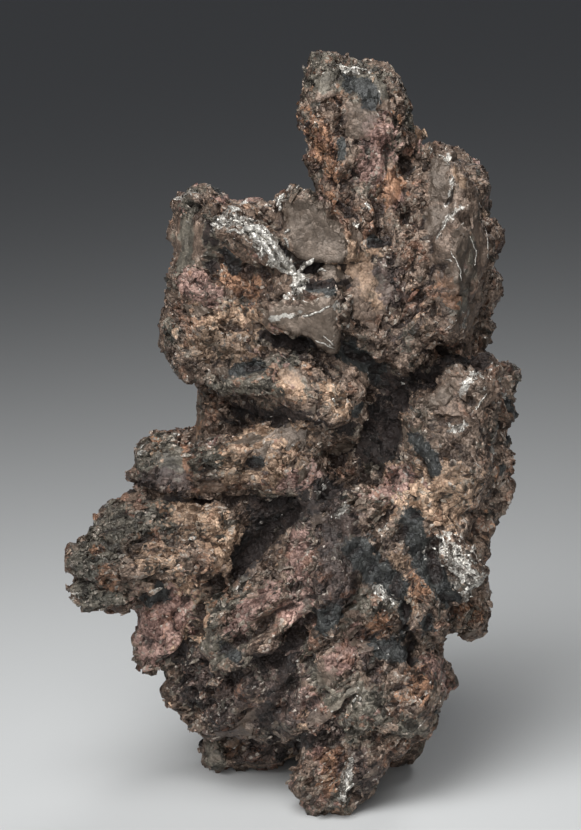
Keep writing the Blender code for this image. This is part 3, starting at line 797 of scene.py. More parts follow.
# %% Rubble
FACETS = ((4.4, 0.8), (2.1, 0.68), (1.05, 0.4))  # size and height in mm
GAP_WIDTH, GAP_DEPTH = 0.13, 0.5
FOLD_SIZE, FOLD_HEIGHT = 3.2, 0.55
TERRACE_SIZE, TERRACE_STEP, TERRACE_HEIGHT, TERRACE_CALM = 6.0, 0.2, 0.5, 0.7
LUMP_SIZE, LUMP_HEIGHT = 3.0, 0.55
COARSE_SIZE = 8.0
LEAST_RUBBLE, LEAST_LARGE = 0.3, 0.45  # calm ore keeps this share of the facets, and of large ones
PLATE_CALM, SULPHIDE_CALM = 0.85, 0.7
FACET_SHIFT = Vector((7.1, 3.3, 5.9))
# These keep the carving near the solid's own surface: its broad mean is halved, all of it is sunk
# a little, and what still stands out by more than MOST_LIFT is pressed down to a share. In mm.
MEAN_ROUNDS, MEAN_SHARE, SUNK = 120, 0.5, 0.15
MOST_LIFT, PAST_MOST = 0.7, 0.3
fold_cloud, terrace_cloud = cloud(FOLD_SIZE, (2, 8, 5)), cloud(TERRACE_SIZE, fade=0.8)


def facet(size, shift):
    """A field of tilted facets, each about `size` mm across."""

    def height(place):
        nearest = noise.voronoi(place / size + shift)[1][0]
        return (place / size + shift - nearest).dot(noise.cell_vector(nearest * 17.0))

    return height


def gap(size, shift):
    """1 in the gap between two cells, 0 inside a cell. The shift is that of the facets."""

    def height(place):
        near, next_near = noise.voronoi(place / size + shift)[0][:2]
        return max(0.0, 1 - (next_near - near) / GAP_WIDTH)

    return height


def fold(place):
    """Rounded ridges with sharp valleys between them."""
    return abs(fold_cloud(place)) * 2.4 - 0.6


def terrace(place):
    """Stepped sheets, as in a crystal that is etched layer by layer."""
    height = terrace_cloud(place) / TERRACE_STEP
    whole = math.floor(height)
    return (whole + min(1.0, (height - whole) * 4)) * TERRACE_STEP


coarseness = evaluated(cloud(COARSE_SIZE, (4, 4, 4), ratio=2.1))
rubble = LEAST_RUBBLE + (1 - LEAST_RUBBLE) * smooth_step(coarseness, -0.5, 0.3)
rubble *= 1 - PLATE_CALM * plate_mask
rubble *= 1 - SULPHIDE_CALM * smooth_step(zones["blue_black"], 0.35, 0.6)
print("rubble strength from", round(float(rubble.min()), 2), "to", round(float(rubble.max()), 2))

for step, (size, height) in enumerate(FACETS):
    shift = FACET_SHIFT * step
    share = rubble if step else LEAST_LARGE + (1 - LEAST_LARGE) * rubble
    lift += height * share * evaluated(facet(size, shift), stretched)
    if step:
        lift -= GAP_DEPTH * size / 2 * rubble * evaluated(gap(size, shift), stretched)
lift += FOLD_HEIGHT * (LEAST_RUBBLE + (1 - LEAST_RUBBLE) * rubble) * evaluated(fold, stretched)
lift += TERRACE_HEIGHT * (1 - TERRACE_CALM * plate_mask) * evaluated(terrace)
lumps = cloud(LUMP_SIZE, fade=0.8, ratio=2.2, octaves=4)
lift += LUMP_HEIGHT * rubble * evaluated(lumps, stretched)
lift -= MEAN_SHARE * net.smoothed(lift, MEAN_ROUNDS) + SUNK
lift = np.where(lift > MOST_LIFT, MOST_LIFT + PAST_MOST * (lift - MOST_LIFT), lift)
net.points += base_normals * lift[:, None] * MM
print("and moved by", np.round(np.quantile(lift, (0.05, 0.95)), 2), "mm in all")

# %% [markdown]
# ## Back inside the solid's box
#
# Carving moves points out as well as in. The feet keep to the table, and no point leaves the
# solid's box. The carved shape then gives two more numbers at each point: how far it stands out
# of the broad form, and how far out of its near surroundings. Shade is painted where both are low.

# %% Feet and box
low, high = np.array(cad_box[0]), np.array(cad_box[1])
FOOT_HEIGHT = 0.25 * MM
net.points[net.points[:, 2] < low[2] + FOOT_HEIGHT, 2] = low[2]
net.points = np.clip(net.points, low, high)
carved_normals = net.normals()
print("the skin is", np.round((net.points.max(0) - net.points.min(0)) / MM, 1), "mm")

# %% Hollows and edges
BROAD_ROUNDS, FINE_ROUNDS = 60, 6
BROAD_SCALE, FINE_SCALE = 0.35, 2.2


def standing_out(rounds):
    """How far each point stands out of the skin smoothed a number of times, in mm."""
    return ((net.points - net.smoothed(net.points, rounds)) * carved_normals).sum(1) / MM


broad = standing_out(BROAD_ROUNDS)
zones["height"] = np.clip(0.5 + BROAD_SCALE * broad, 0, 1)
zones["edge"] = np.clip(0.5 + FINE_SCALE * standing_out(FINE_ROUNDS), 0, 1)
zones["plate"] = bare_metal
zones["calm"] = plate_mask
print("heights stand out by", np.round(np.quantile(broad, (0.05, 0.95)), 2), "mm")

# %% The finished skin as an object


def mesh_of(name, points, triangles):
    """A mesh of points and triangles, kept inside the solid's box."""
    points = np.clip(points, low, high)
    mesh = bpy.data.meshes.new(name)
    mesh.vertices.add(len(points))
    mesh.vertices.foreach_set("co", points.ravel())
    mesh.loops.add(triangles.size)
    mesh.loops.foreach_set("vertex_index", triangles.ravel())
    mesh.polygons.add(len(triangles))
    mesh.polygons.foreach_set("loop_start", np.arange(0, triangles.size, 3))
    mesh.update(calc_edges=True)
    return mesh


def finish_piece(name, mesh, values):
    """Makes a mesh a piece of the group, with its zones as attributes."""
    for kind, column in values.items():
        layer = mesh.attributes.new("zone_" + kind, "FLOAT", "POINT")
        layer.data.foreach_set("value", column.astype(np.float32))
    mesh.update()
    piece = bpy.data.objects.new(name, mesh)
    bpy.context.scene.collection.objects.link(piece)
    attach(piece, "root")
    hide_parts(NODE)
    mesh.calc_loop_triangles()
    print(name, "has", len(mesh.loop_triangles), "triangles")
    return piece


net.mesh.vertices.foreach_set("co", net.points.ravel())
net.mesh.shade_smooth()
zones["loose"] = np.zeros(len(net.points))
zones["tone"] = np.zeros(len(net.points))
pieces = [finish_piece("dyscrasite_skin", net.mesh, zones)]

# %% [markdown]
# ## Plates as thin shells
#
# Pressing the skin flat leaves its edges soft. On the ore a plate ends in a sharp, broken step,
# so each plate also gets a thin closed shell that follows the broad shape of the skin and stands
# a little proud of it. The named plates keep their outlines from the frame. Others are scattered
# all round the group, longer along the run that they lie in, because small cleaved faces show
# everywhere between the grains.

# %% Shells
SHELL_SEED = 11
CALM_ROUNDS = 10
SHELL_GRID, GRID_STRAY = 0.42, 0.15  # spacing of its points in mm, and their stray as a share of it
SHELL_DEPTH = 0.9  # how far a shell reaches into the skin, in mm
SHELL_WAVE, SHELL_STEP = 0.16, 0.14  # height of its ripples and of the steps across it
EDGE_STRAY, EDGE_WAVE, EDGE_WAVE_SIZE = 0.08, 0.45, 1.4  # raggedness of its edge, fine and broad
RIM_DROP = 0.08
LEAST_FACES = 6
random = np.random.default_rng(SHELL_SEED)
noise.seed_set(SHELL_SEED)  # noise_vector is seeded by the clock otherwise
calm = net.smoothed(net.points, CALM_ROUNDS)
calm_tree = BVHTree.FromPolygons(calm.tolist(), skin_faces)


def unit(vectors):
    """The vectors, one unit long."""
    return vectors / np.maximum(np.linalg.norm(vectors, axis=-1, keepdims=True), NO_LENGTH)


def plane_axes(facing, along):
    """Two unit axes of the plane that faces `facing`, the first as near as it can be to `along`."""
    first = unit(along - (along @ facing) * facing)
    return first, np.cross(facing, first)


def ragged(corners, shift):
    """A closed edge through flat corners, with a point at every step of the grid."""
    edge = []
    for start, end in zip(corners, np.roll(corners, -1, 0)):
        steps = max(1, round(float(np.linalg.norm(end - start)) / SHELL_GRID))
        edge += [start + (end - start) * share for share in np.arange(steps) / steps]
    waves = [noise.noise_vector(Vector((*point, 0)) / EDGE_WAVE_SIZE + shift)[:2] for point in edge]
    stray = random.normal(size=(len(edge), 2)) * EDGE_STRAY
    return np.array(edge) + np.array(waves) * EDGE_WAVE + stray


def rim_edges(faces):
    """The directed edges that only one triangle has."""
    directed = np.concatenate([faces[:, [0, 1]], faces[:, [1, 2]], faces[:, [2, 0]]])
    either_way = np.sort(directed, axis=1)
    _, where, count = np.unique(either_way, axis=0, return_index=True, return_counts=True)
    return directed[where[count == 1]]


def drape(base, facing, limit):
    """How far above the plane the calm skin lies at each point, and where it is in reach."""
    offsets = np.full(len(base), np.inf)
    for index, point in enumerate(base):
        start = Vector((point + facing * limit) * MM)
        hit = calm_tree.ray_cast(start, Vector(-facing), 2 * limit * MM)[0]
        if hit is not None:
            offsets[index] = (np.array(hit) / MM - point) @ facing
    return np.nan_to_num(offsets, posinf=0.0), np.isfinite(offsets)


def shell(corners, middle, facing, along, lift, limit):
    """A closed thin shell with its corners, in mm, in the plane through `middle`.

    Its top lies half-way between that plane and the calm skin. Gives its points, triangles and rim.
    """
    first, second = plane_axes(facing, along)
    shift = Vector(random.uniform(-50, 50, 3))
    edge = ragged(corners, shift)
    spans = [np.arange(least, most, SHELL_GRID) for least, most in zip(edge.min(0), edge.max(0))]
    grid = np.stack(np.meshgrid(*spans), -1).reshape(-1, 2)
    grid = grid + random.normal(size=grid.shape) * SHELL_GRID * GRID_STRAY
    flat = [Vector(place) for place in np.concatenate([edge, grid])]
    found = geometry.delaunay_2d_cdt(flat, [], [list(range(len(edge)))], 1, 1e-5)
    places, faces = np.array(found[0]), np.array(found[2]).reshape(-1, 3)
    base = middle / MM + places[:, :1] * first + places[:, 1:] * second
    offsets, within = drape(base, facing, limit)
    faces = faces[within[faces].all(1)]
    if len(faces) < LEAST_FACES:
        return None
    sides = rim_edges(faces)
    on_rim = np.zeros(len(places))
    on_rim[sides.ravel()] = 1
    ripples, steps = [], []
    for across, down in places:
        ripples.append(noise.fractal(Vector((across / 3.2, down / 1.1, 0)) + shift, 0.8, 2.1, 4))
        steps.append(math.floor(3 * noise.noise(Vector((across / 3.0, down / 2.0, 5)) + shift)))
    rise = 0.5 * offsets + lift + SHELL_WAVE * np.array(ripples) + SHELL_STEP * np.array(steps)
    top = base + (rise - RIM_DROP * on_rim)[:, None] * facing
    below = base + (offsets - SHELL_DEPTH)[:, None] * facing
    count = len(places)
    walls = [(b, a, a + count) for a, b in sides] + [(b, a + count, b + count) for a, b in sides]
    triangles = np.concatenate([faces, faces[:, ::-1] + count, np.array(walls)])
    used, triangles = np.unique(triangles, return_inverse=True)
    rims = np.concatenate([on_rim, np.zeros(count)])[used]
    return np.concatenate([top, below])[used] * MM, triangles.reshape(-1, 3), rims


calming = round(float(np.abs(calm - net.points).mean()) / MM, 2)
print("the calm skin lies about", calming, "mm from the carved one")

# %% Named shells
PLATE_LIFT, PLATE_DRAPE = 0.1, 2.0  # how far it stands proud and how far it may bend, in mm
shells = []  # the points, triangles and rim of each, and how bare its metal is
eye = np.array(camera.location)
for outline, bareness in PLATES.values():
    chosen = on_front(outline)
    middle = np.median(calm[chosen], axis=0)
    facing = unit(np.median(carved_normals[chosen], axis=0))
    rays = [np.array(camera_ray(place)) for place in outline]
    hits = [eye + ray * ((middle - eye) @ facing) / (ray @ facing) for ray in rays]
    along = run_of[chosen].mean(0)
    first, second = plane_axes(facing, along)
    corners = np.array([((hit - middle) @ first, (hit - middle) @ second) for hit in hits]) / MM
    made = shell(corners, middle, facing, along, PLATE_LIFT, PLATE_DRAPE)
    if made is not None:
        shells.append((*made, bareness))
print("made", len(shells), "named shells")

# %% Scattered shells
LOOSE_SHELLS, SHELL_SPACING = 260, 1.9
SHELL_RADIUS, SHELL_CORNERS, SHELL_UNEVEN = (0.7, 2.4), (5, 8), (0.75, 1.2)
SHELL_LIFT, SHELL_DRAPE = (0.05, 0.3), 0.9
SHELL_BARENESS = (0.2, 0.5, 0.85)
ABOVE_TABLE = 2.5 * MM
NEAR_CELLS = list(product((-1, 0, 1), repeat=3))


def scatter(weights, count, spacing):
    """Picks up to `count` points of the net by weight, no two nearer than the spacing in mm."""
    usable = int(min(count * 5, (weights > 0).sum()))
    order = random.choice(len(weights), usable, replace=False, p=weights / weights.sum())
    taken, chosen = {}, []
    for index, place in zip(order, net.points[order] / MM):
        cell = tuple((place // spacing).astype(int))
        near = [(cell[0] + i, cell[1] + j, cell[2] + k) for i, j, k in NEAR_CELLS]
        if any(key in taken and np.linalg.norm(taken[key] - place) < spacing for key in near):
            continue
        taken[cell] = place
        chosen.append(index)
        if len(chosen) == count:
            break
    return np.array(chosen)


broad_normals = unit(net.smoothed(carved_normals, 12))
open_to_air = smooth_step(zones["height"], 0.05, 0.35)
weights = open_to_air * (net.points[:, 2] > low[2] + ABOVE_TABLE)
weights *= (1 - plate_mask) * (zones["silver"] < 0.4)
shell_mask = np.zeros(len(net.points))
for index in scatter(weights, LOOSE_SHELLS, SHELL_SPACING):
    radius = random.uniform(*SHELL_RADIUS)
    angles = np.sort(random.uniform(0, 2 * math.pi, random.integers(*SHELL_CORNERS)))
    corners = np.column_stack([np.cos(angles), np.sin(angles)])
    corners *= random.uniform(*SHELL_UNEVEN, (len(angles), 1))
    stretch = math.sqrt(stretches[nearest_run[index]])
    corners *= radius * np.array([stretch, 1 / stretch])
    facing, lift = broad_normals[index], random.uniform(*SHELL_LIFT)
    made = shell(corners, calm[index], facing, run_of[index], lift, SHELL_DRAPE)
    bareness = random.choice(SHELL_BARENESS)
    if made is not None:
        shells.append((*made, bareness))
    away = np.linalg.norm(net.points - net.points[index], axis=1) / (radius * MM)
    shell_mask = np.maximum(shell_mask, 1 - smooth_step(away, 0.7, 1.0))
print("and some scattered ones:", len(shells), "in all")

# %% All shells as one piece
RIM_EDGE, RIM_SILVER = 0.08, 0.6  # how far a rim stands out in the edge zone, which keeps the painted hollow shade off it, and the most silver on it


def joined(parts):
    """Many pairs of points and triangles as one pair."""
    starts = np.cumsum([0, *(len(points) for points, _ in parts[:-1])])
    triangles = [triangles + start for (_, triangles), start in zip(parts, starts)]
    return np.concatenate([points for points, _ in parts]), np.concatenate(triangles)


shell_points, shell_triangles = joined([(points, triangles) for points, triangles, *_ in shells])
rims = np.concatenate([rim for _, _, rim, _ in shells])
skin_points = KDTree(len(net.points))
for index, point in enumerate(net.points):
    skin_points.insert(point, index)
skin_points.balance()
nearest = np.array([skin_points.find(point)[1] for point in shell_points])
shell_zones = {kind: values[nearest] for kind, values in zones.items()}
counts = [len(points) for points, *_ in shells]
shell_zones["plate"] = np.repeat([bareness for *_, bareness in shells], counts)
shell_zones["calm"] = np.ones(len(shell_points))
shell_zones["edge"] = 0.5 + RIM_EDGE * rims
rim_silver = rims * random.uniform(0.0, RIM_SILVER, len(rims))
shell_zones["silver"] = np.maximum(shell_zones["silver"], rim_silver)
mesh = mesh_of("shells", shell_points, shell_triangles)
mesh.shade_flat()
pieces.append(finish_piece("shells", mesh, shell_zones))

# %% [markdown]
# ## Grains that stand proud
#
# Seen close up, the rubble is a crust of separate angular grains, from a third of a millimetre to
# almost two. A skin can't undercut, so real grains go on it: small closed polyhedra, half sunk
# and tilted, each in the direction of its run. Their shadows make the dark gaps that the ore has
# everywhere, and they break up the outline. They sit all round the group, thickly on rubble and
# hardly at all on plates. Each grain takes the zones of the skin under it, shifted a little at
# random, so that neighbours differ in colour.

# %% Grain shapes
SEED = 7
HULLS = 40
HULL_POINTS = 12
BOXINESS = 0.75  # 1 is round, less is boxy
random = np.random.default_rng(SEED)


def hull(count):
    """A closed polyhedron about one unit in radius: its corners and its triangles."""
    corners = random.normal(size=(count, 3))
    corners /= np.linalg.norm(corners, axis=1)[:, None]
    corners = np.sign(corners) * np.abs(corners) ** BOXINESS
    shape = bmesh.new()
    for corner in corners:
        shape.verts.new(corner)
    bmesh.ops.convex_hull(shape, input=shape.verts)
    bmesh.ops.triangulate(shape, faces=shape.faces)
    bmesh.ops.recalc_face_normals(shape, faces=shape.faces)
    shape.verts.index_update()
    triangles = np.array([[vertex.index for vertex in face.verts] for face in shape.faces])
    corners = np.array([tuple(vertex.co) for vertex in shape.verts])
    shape.free()
    return corners, triangles


hulls = [hull(HULL_POINTS) for _ in range(HULLS)]
print(HULLS, "shapes of about", len(hulls[0][1]), "triangles")

# %% Many grains as one mesh


def random_turns(count):
    """Random rotations, as matrices."""
    w, x, y, z = unit(random.normal(size=(count, 4))).T
    rows = [
        [1 - 2 * (y * y + z * z), 2 * (x * y - z * w), 2 * (x * z + y * w)],
        [2 * (x * y + z * w), 1 - 2 * (x * x + z * z), 2 * (y * z - x * w)],
        [2 * (x * z - y * w), 2 * (y * z + x * w), 1 - 2 * (x * x + y * y)],
    ]
    return np.moveaxis(np.array(rows), 2, 0)


def grain_mesh(name, places, outward, along, sizes, sink, tilt):
    """Polyhedra at places, standing along `outward`, long sides along `along`, half sizes in mm.

    Gives their mesh and, for each of its points, which grain it belongs to.
    """
    outward = unit(outward + random.normal(size=outward.shape) * tilt)
    along = along + random.normal(size=along.shape) * tilt * 1.5
    along = unit(along - (along * outward).sum(1)[:, None] * outward)
    across = np.cross(outward, along)
    frames = np.stack([along, across, outward], axis=2) * (sizes * MM)[:, None, :]
    centres = places - outward * (sizes[:, 2:] * sink * MM)
    turns = random_turns(len(places))
    shape_of = random.integers(0, HULLS, len(places))
    parts, owners = [], []
    for number, (corners, triangles) in enumerate(hulls):
        mine = np.flatnonzero(shape_of == number)
        turned = np.einsum("nij,kj->nki", turns[mine], corners)
        points = np.einsum("nij,nkj->nki", frames[mine], turned) + centres[mine][:, None]
        firsts = len(corners) * np.arange(len(mine))
        parts.append((points.reshape(-1, 3), (firsts[:, None, None] + triangles).reshape(-1, 3)))
        owners.append(np.repeat(mine, len(corners)))
    mesh = mesh_of(name, *joined(parts))
    mesh.shade_flat()
    return mesh, np.concatenate(owners)


print("a grain takes one of", HULLS, "shapes and any turn")

# %% Room for the silver twigs
# name: (places, radius in mm)
TWIGS = {
    "band": ([(246, 229), (256, 228), (265, 235), (272, 246), (279, 257), (287, 267),
              (296, 274)], 0.34),
    "band_side": ([(252, 233), (262, 240), (268, 250), (276, 262), (286, 272), (298, 277)], 0.28),
    "band_top": ([(260, 226), (270, 236), (278, 247)], 0.24),
    "right_arm": ([(296, 274), (301, 267), (308, 262), (316, 258)], 0.26),
    "low_arm": ([(302, 276), (300, 281), (294, 286), (288, 286)], 0.24),
    "right_end": ([(296, 275), (304, 276), (304, 284)], 0.22),
    "left_arm": ([(276, 262), (281, 269), (289, 273)], 0.17),
    "feather_1": ([(258, 228), (256, 238), (257, 246)], 0.12),
    "feather_2": ([(264, 242), (262, 250), (264, 258)], 0.12),
    "feather_3": ([(272, 254), (270, 262), (266, 266)], 0.12),
    "feather_4": ([(284, 232), (288, 229), (293, 230)], 0.15),
    "feather_5": ([(283, 236), (287, 243), (289, 250)], 0.12),
    "feather_6": ([(226, 232), (234, 230), (243, 234)], 0.12),
    "brow_spot": ([(280, 202), (283, 208), (281, 214)], 0.22),
    "flake_rim": ([(318, 272), (322, 269), (328, 271)], 0.14),
    "shield_vein": ([(303, 317), (312, 314), (322, 311), (331, 304)], 0.09),
    "shield_vein_low": ([(316, 341), (326, 344), (336, 350)], 0.07),
    "shield_vein_side": ([(324, 336), (330, 342), (337, 346)], 0.06),
    "slab_rim": ([(434, 154), (444, 157), (449, 164)], 0.06),
    "slab_rim_low": ([(452, 174), (453, 190)], 0.06),
    "step_rim": ([(461, 208), (453, 212)], 0.06),
    "step_rim_low": ([(448, 218), (444, 228), (438, 239)], 0.06),
    "fan_line_1": ([(470, 236), (476, 252), (474, 268)], 0.05),
    "fan_line_2": ([(452, 252), (460, 270), (462, 284)], 0.05),
    "fan_line_3": ([(484, 226), (488, 244), (487, 262)], 0.05),
    "shoulder_rim": ([(472, 380), (482, 377), (489, 384)], 0.07),
    "shoulder_rim_low": ([(486, 394), (480, 404), (474, 412)], 0.06),
    "tower_rim": ([(334, 64), (342, 66), (352, 68), (368, 70)], 0.08),
}
TWIG_ROOM = 0.8  # mm beside a twig that hold no grain
clear_of_twigs = np.ones(len(net.points))
for line, _ in TWIGS.values():
    clear_of_twigs[near_line(line, TWIG_ROOM) > 0] = 0
print("twigs keep", int((clear_of_twigs == 0).sum()), "points free of grains")

# %% Grains on the skin
# name: (count, least and most length in mm, width and height as shares of it, spacing in mm,
# power of rubble, tilt, how deep it is sunk as a share of its height, rounds of smoothing of the
# normal that it stands on)
GRAINS = {
    "flakes": (3200, 0.7, 1.7, 0.5, 0.3, 0.65, 1.0, 0.1, 0.6, 9),
    "coarse_grains": (3000, 0.6, 1.35, 0.75, 0.5, 0.55, 1.6, 0.22, 0.4, 4),
    "fine_grains": (9500, 0.28, 0.75, 0.7, 0.5, 0.28, 0.8, 0.3, 0.35, 3),
}
ZONE_JITTER = 0.22
GRAIN_EDGE = 0.55  # a little more than even, so that a grain never gets the painted hollow shade
PATCH_SIZE, FEWEST = 5.0, 0.12  # size in mm of patches of grains, and the share between them
OFF_PLATES, OFF_SULPHIDE = 0.93, 0.85
ABOVE_FEET = 0.8 * MM
patches = evaluated(cloud(PATCH_SIZE, (9, 2, 6), ratio=2.2), stretched)
patches = FEWEST + (1 - FEWEST) * smooth_step(patches, -0.35, 0.25)
room = open_to_air * (net.points[:, 2] > low[2] + ABOVE_FEET)
for name, measures in GRAINS.items():
    count, least, most, width, thickness, spacing, power, tilt, sink, rounds = measures
    weights = (rubble**power) * room * (1 - OFF_PLATES * np.maximum(plate_mask, shell_mask))
    weights *= clear_of_twigs * (patches if name != "fine_grains" else np.sqrt(patches))
    weights *= 1 - OFF_SULPHIDE * smooth_step(zones["blue_black"], 0.4, 0.6)
    chosen = scatter(weights, count, spacing)
    stretch = stretches[nearest_run[chosen]]
    length = (least + (most - least) * random.random(len(chosen)) ** 2) * stretch**0.3
    widths = length * width * random.uniform(0.75, 1.25, len(chosen)) / stretch**0.5
    heights = length * thickness * random.uniform(0.7, 1.3, len(chosen))
    half_sizes = np.column_stack([length, widths, heights]) / 2
    outward, along = unit(net.smoothed(carved_normals, rounds))[chosen], run_of[chosen]
    mesh, owner = grain_mesh(name, net.points[chosen], outward, along, half_sizes, sink, tilt)
    grain_zones = {}
    for kind, values in zones.items():
        own = values[chosen]
        if kind in ZONES:
            jitter = random.uniform(-ZONE_JITTER, ZONE_JITTER, len(chosen))
            own = np.clip(own + jitter * (own > 0.2), 0, 1)
        grain_zones[kind] = own[owner]
    grain_zones["edge"] = np.full(len(owner), GRAIN_EDGE)
    grain_zones["loose"] = np.ones(len(owner))
    grain_zones["tone"] = random.random(len(chosen))[owner]
    pieces.append(finish_piece(name, mesh, grain_zones))

# %% [markdown]
# ## Bright crust
#
# The brightest marks are thin: a pale branching crust of silver on the ridge, and fine bright
# lines where an edge was rubbed bare. Both are rows of small grains along a line, close enough to
# overlap, long side along it.

# %% Silver lines
# name: (places, how far the grains stray in mm, grains for each mm, length in mm, silver zone)
SILVER_LINES = {
    "ridge": ([(222, 222), (236, 216), (252, 226)], 0.5, 9, 0.4, 0.55),
    "ridge_low": ([(226, 232), (246, 236), (262, 246)], 0.35, 9, 0.4, 0.6),
    "crust_side": ([(258, 228), (270, 240), (282, 258)], 0.35, 12, 0.4, 0.75),
    "tower_edge": ([(334, 63), (350, 68), (366, 69)], 0.1, 7, 0.3, 0.7),
    "tower_corner": ([(378, 68), (388, 72), (393, 84)], 0.1, 6, 0.3, 0.6),
    "slab_edge": ([(432, 154), (446, 158), (450, 172), (452, 190)], 0.08, 7, 0.3, 0.7),
    "step_edge": ([(461, 208), (450, 216), (437, 240)], 0.1, 7, 0.32, 0.65),
    "slab_crack": ([(468, 308), (458, 318), (446, 330)], 0.08, 5, 0.3, 0.6),
    "shield_line": ([(292, 318), (312, 314), (334, 304)], 0.08, 6, 0.3, 0.7),
    "shield_rim": ([(322, 338), (330, 346), (336, 334)], 0.1, 6, 0.3, 0.6),
    "shoulder_top": ([(470, 380), (482, 376), (494, 384)], 0.14, 7, 0.34, 0.65),
    "shoulder_line": ([(486, 384), (482, 400), (472, 414)], 0.12, 7, 0.34, 0.65),
    "shoulder_spots": ([(448, 422), (450, 434)], 0.16, 14, 0.4, 0.75),
    "shoulder_patch": ([(461, 434), (464, 420)], 0.16, 14, 0.4, 0.8),
    "lobe": ([(446, 546), (456, 560), (470, 580)], 0.9, 16, 0.4, 0.6),
    "lobe_side": ([(464, 560), (474, 572), (480, 582)], 0.5, 8, 0.36, 0.6),
    "arm_sparkle": ([(150, 438), (164, 434), (178, 446)], 0.6, 8, 0.3, 0.6),
    "foot_ridge": ([(348, 756), (344, 776), (340, 796)], 0.2, 7, 0.34, 0.6),
    "slope_spot": ([(236, 584), (246, 580)], 0.25, 6, 0.3, 0.55),
    "ridge_spot": ([(342, 500), (350, 512)], 0.25, 7, 0.3, 0.6),
    "mass_streak": ([(372, 584), (384, 596), (392, 608)], 0.25, 7, 0.32, 0.55),
    "mass_spark": ([(356, 690), (366, 702)], 0.35, 5, 0.3, 0.5),
    "knob_top": ([(360, 210), (366, 206), (370, 212)], 0.12, 7, 0.32, 0.6),
}
BRIGHT = 0.6  # the edge and height zones of the crust and the twigs, which keep the painted hollow shade off them
ground = skin_faces + (shell_triangles + len(net.points)).tolist()
ground_points = np.concatenate([net.points, shell_points])
tree = BVHTree.FromPolygons(ground_points.tolist(), ground)


def strayed(start, end, share, stray):
    """A place on the way from one place to another, moved at random by about `stray` pixels."""
    return [a + (b - a) * share + random.normal() * stray for a, b in zip(start, end)]


def bright_zones(silver, tones):
    """The zones of bright silver, with none of the others."""
    values = {kind: np.zeros(len(silver)) for kind in zones}
    values["silver"], values["tone"] = silver, tones
    values["loose"] += 1.0
    values["edge"] += BRIGHT
    values["height"] += BRIGHT
    return values


LENGTH_SPREAD, SILVER_SPREAD = (0.6, 1.3), (0.75, 1.15)
CRUST_WIDTH, CRUST_HEIGHT = (0.35, 0.55), 0.4  # as shares of a grain's length
CRUST_SINK, CRUST_TILT = 0.2, 0.25
crust = []  # the place, outward and long directions, length and silver of each grain
for line, stray, density, length, share in SILVER_LINES.values():
    for start, end in zip(line, line[1:]):
        run = math.dist(start, end) / PIXELS_PER_MM
        for _ in range(max(1, round(run * density))):
            place = strayed(start, end, random.random(), stray * PIXELS_PER_MM)
            hit, normal, *_ = tree.ray_cast(camera.location, camera_ray(place))
            first, last = on_surface(start), on_surface(end)
            if hit is None or first is None or last is None:
                continue
            own_length = length * random.uniform(*LENGTH_SPREAD)
            silver = min(1.0, share * random.uniform(*SILVER_SPREAD))
            crust.append((hit, normal, last - first, own_length, silver))
spots, outward, along, lengths, silver = map(np.array, zip(*crust))
widths = lengths * random.uniform(*CRUST_WIDTH, len(lengths))
half_sizes = np.column_stack([lengths, widths, lengths * CRUST_HEIGHT]) / 2
mesh, owner = grain_mesh(
    "silver_crust", spots, outward, unit(along), half_sizes, CRUST_SINK, CRUST_TILT
)
tones = random.random(len(spots))
pieces.append(finish_piece("silver_crust", mesh, bright_zones(silver[owner], tones[owner])))

# %% Silver twigs
TWIG_STEP, TWIG_STRAY, TWIG_SIDES = 2.2, 0.7, 6  # step and stray in pixels
TWIG_LIFT, TWIG_HEIGHT = 0.7, 0.8  # how far off the skin its middle is, and its height, in radii
TWIG_KNOBS = (0.65, 1.3)


def twig(line, radius):
    """A thin, knobbly, tapering tube over the skin along places in the frame."""
    path = []
    for start, end in zip(line, line[1:]):
        steps = max(1, round(math.dist(start, end) / TWIG_STEP))
        for step in range(steps):
            place = strayed(start, end, step / steps, TWIG_STRAY)
            hit, normal, *_ = tree.ray_cast(camera.location, camera_ray(place))
            if hit is not None:
                path.append(np.array(hit + normal * radius * TWIG_LIFT * MM))
    path = np.array(path)
    path[1:-1] = (path[:-2] + 2 * path[1:-1] + path[2:]) / 4
    heading = unit(np.gradient(path, axis=0))
    side = unit(np.cross(heading, -np.array(towards_camera)))
    rise = np.cross(side, heading)
    from_end = np.minimum(np.arange(len(path)), np.arange(len(path))[::-1])
    taper = np.minimum(1, 0.35 + 0.5 * from_end)
    rings = []
    for angle in 2 * math.pi * np.arange(TWIG_SIDES) / TWIG_SIDES:
        size = radius * MM * taper * random.uniform(*TWIG_KNOBS, len(path))
        spoke = side * math.cos(angle) + TWIG_HEIGHT * rise * math.sin(angle)
        rings.append(path + spoke * size[:, None])
    points = np.stack(rings, axis=1).reshape(-1, 3)
    triangles = []
    for ring in range(len(path) - 1):
        near, far = ring * TWIG_SIDES, (ring + 1) * TWIG_SIDES
        for i in range(TWIG_SIDES):
            j = (i + 1) % TWIG_SIDES
            triangles += [(near + i, near + j, far + j), (near + i, far + j, far + i)]
    last = len(points) - TWIG_SIDES
    for i in range(1, TWIG_SIDES - 1):
        triangles += [(0, i + 1, i), (last, last + i, last + i + 1)]
    return points, np.array(triangles)


twig_parts, twig_tones = [], []
for line, radius in TWIGS.values():
    twig_parts.append(twig(line, radius))
    twig_tones.append(random.uniform(0.7, 1.0, len(twig_parts[-1][0])))
twig_tones = np.concatenate(twig_tones)
mesh = mesh_of("silver_twigs", *joined(twig_parts))
twig_zones = bright_zones(np.ones(len(twig_tones)), twig_tones)
pieces.append(finish_piece("silver_twigs", mesh, twig_zones))

# %% [markdown]
# ## Shared effects
#
# Three effects serve every finish here, so each is a node group. `crystal_grains` divides space
# into small angular cells. It gives each cell a random colour, its own slope, and a gap round it.
# `frayed_zone` turns a soft zone into a patch with a ragged edge that follows those cells.
# `mottle` blends two colours grain by grain, as in any ore that is made of many crystals.

# %% Helpers for node trees


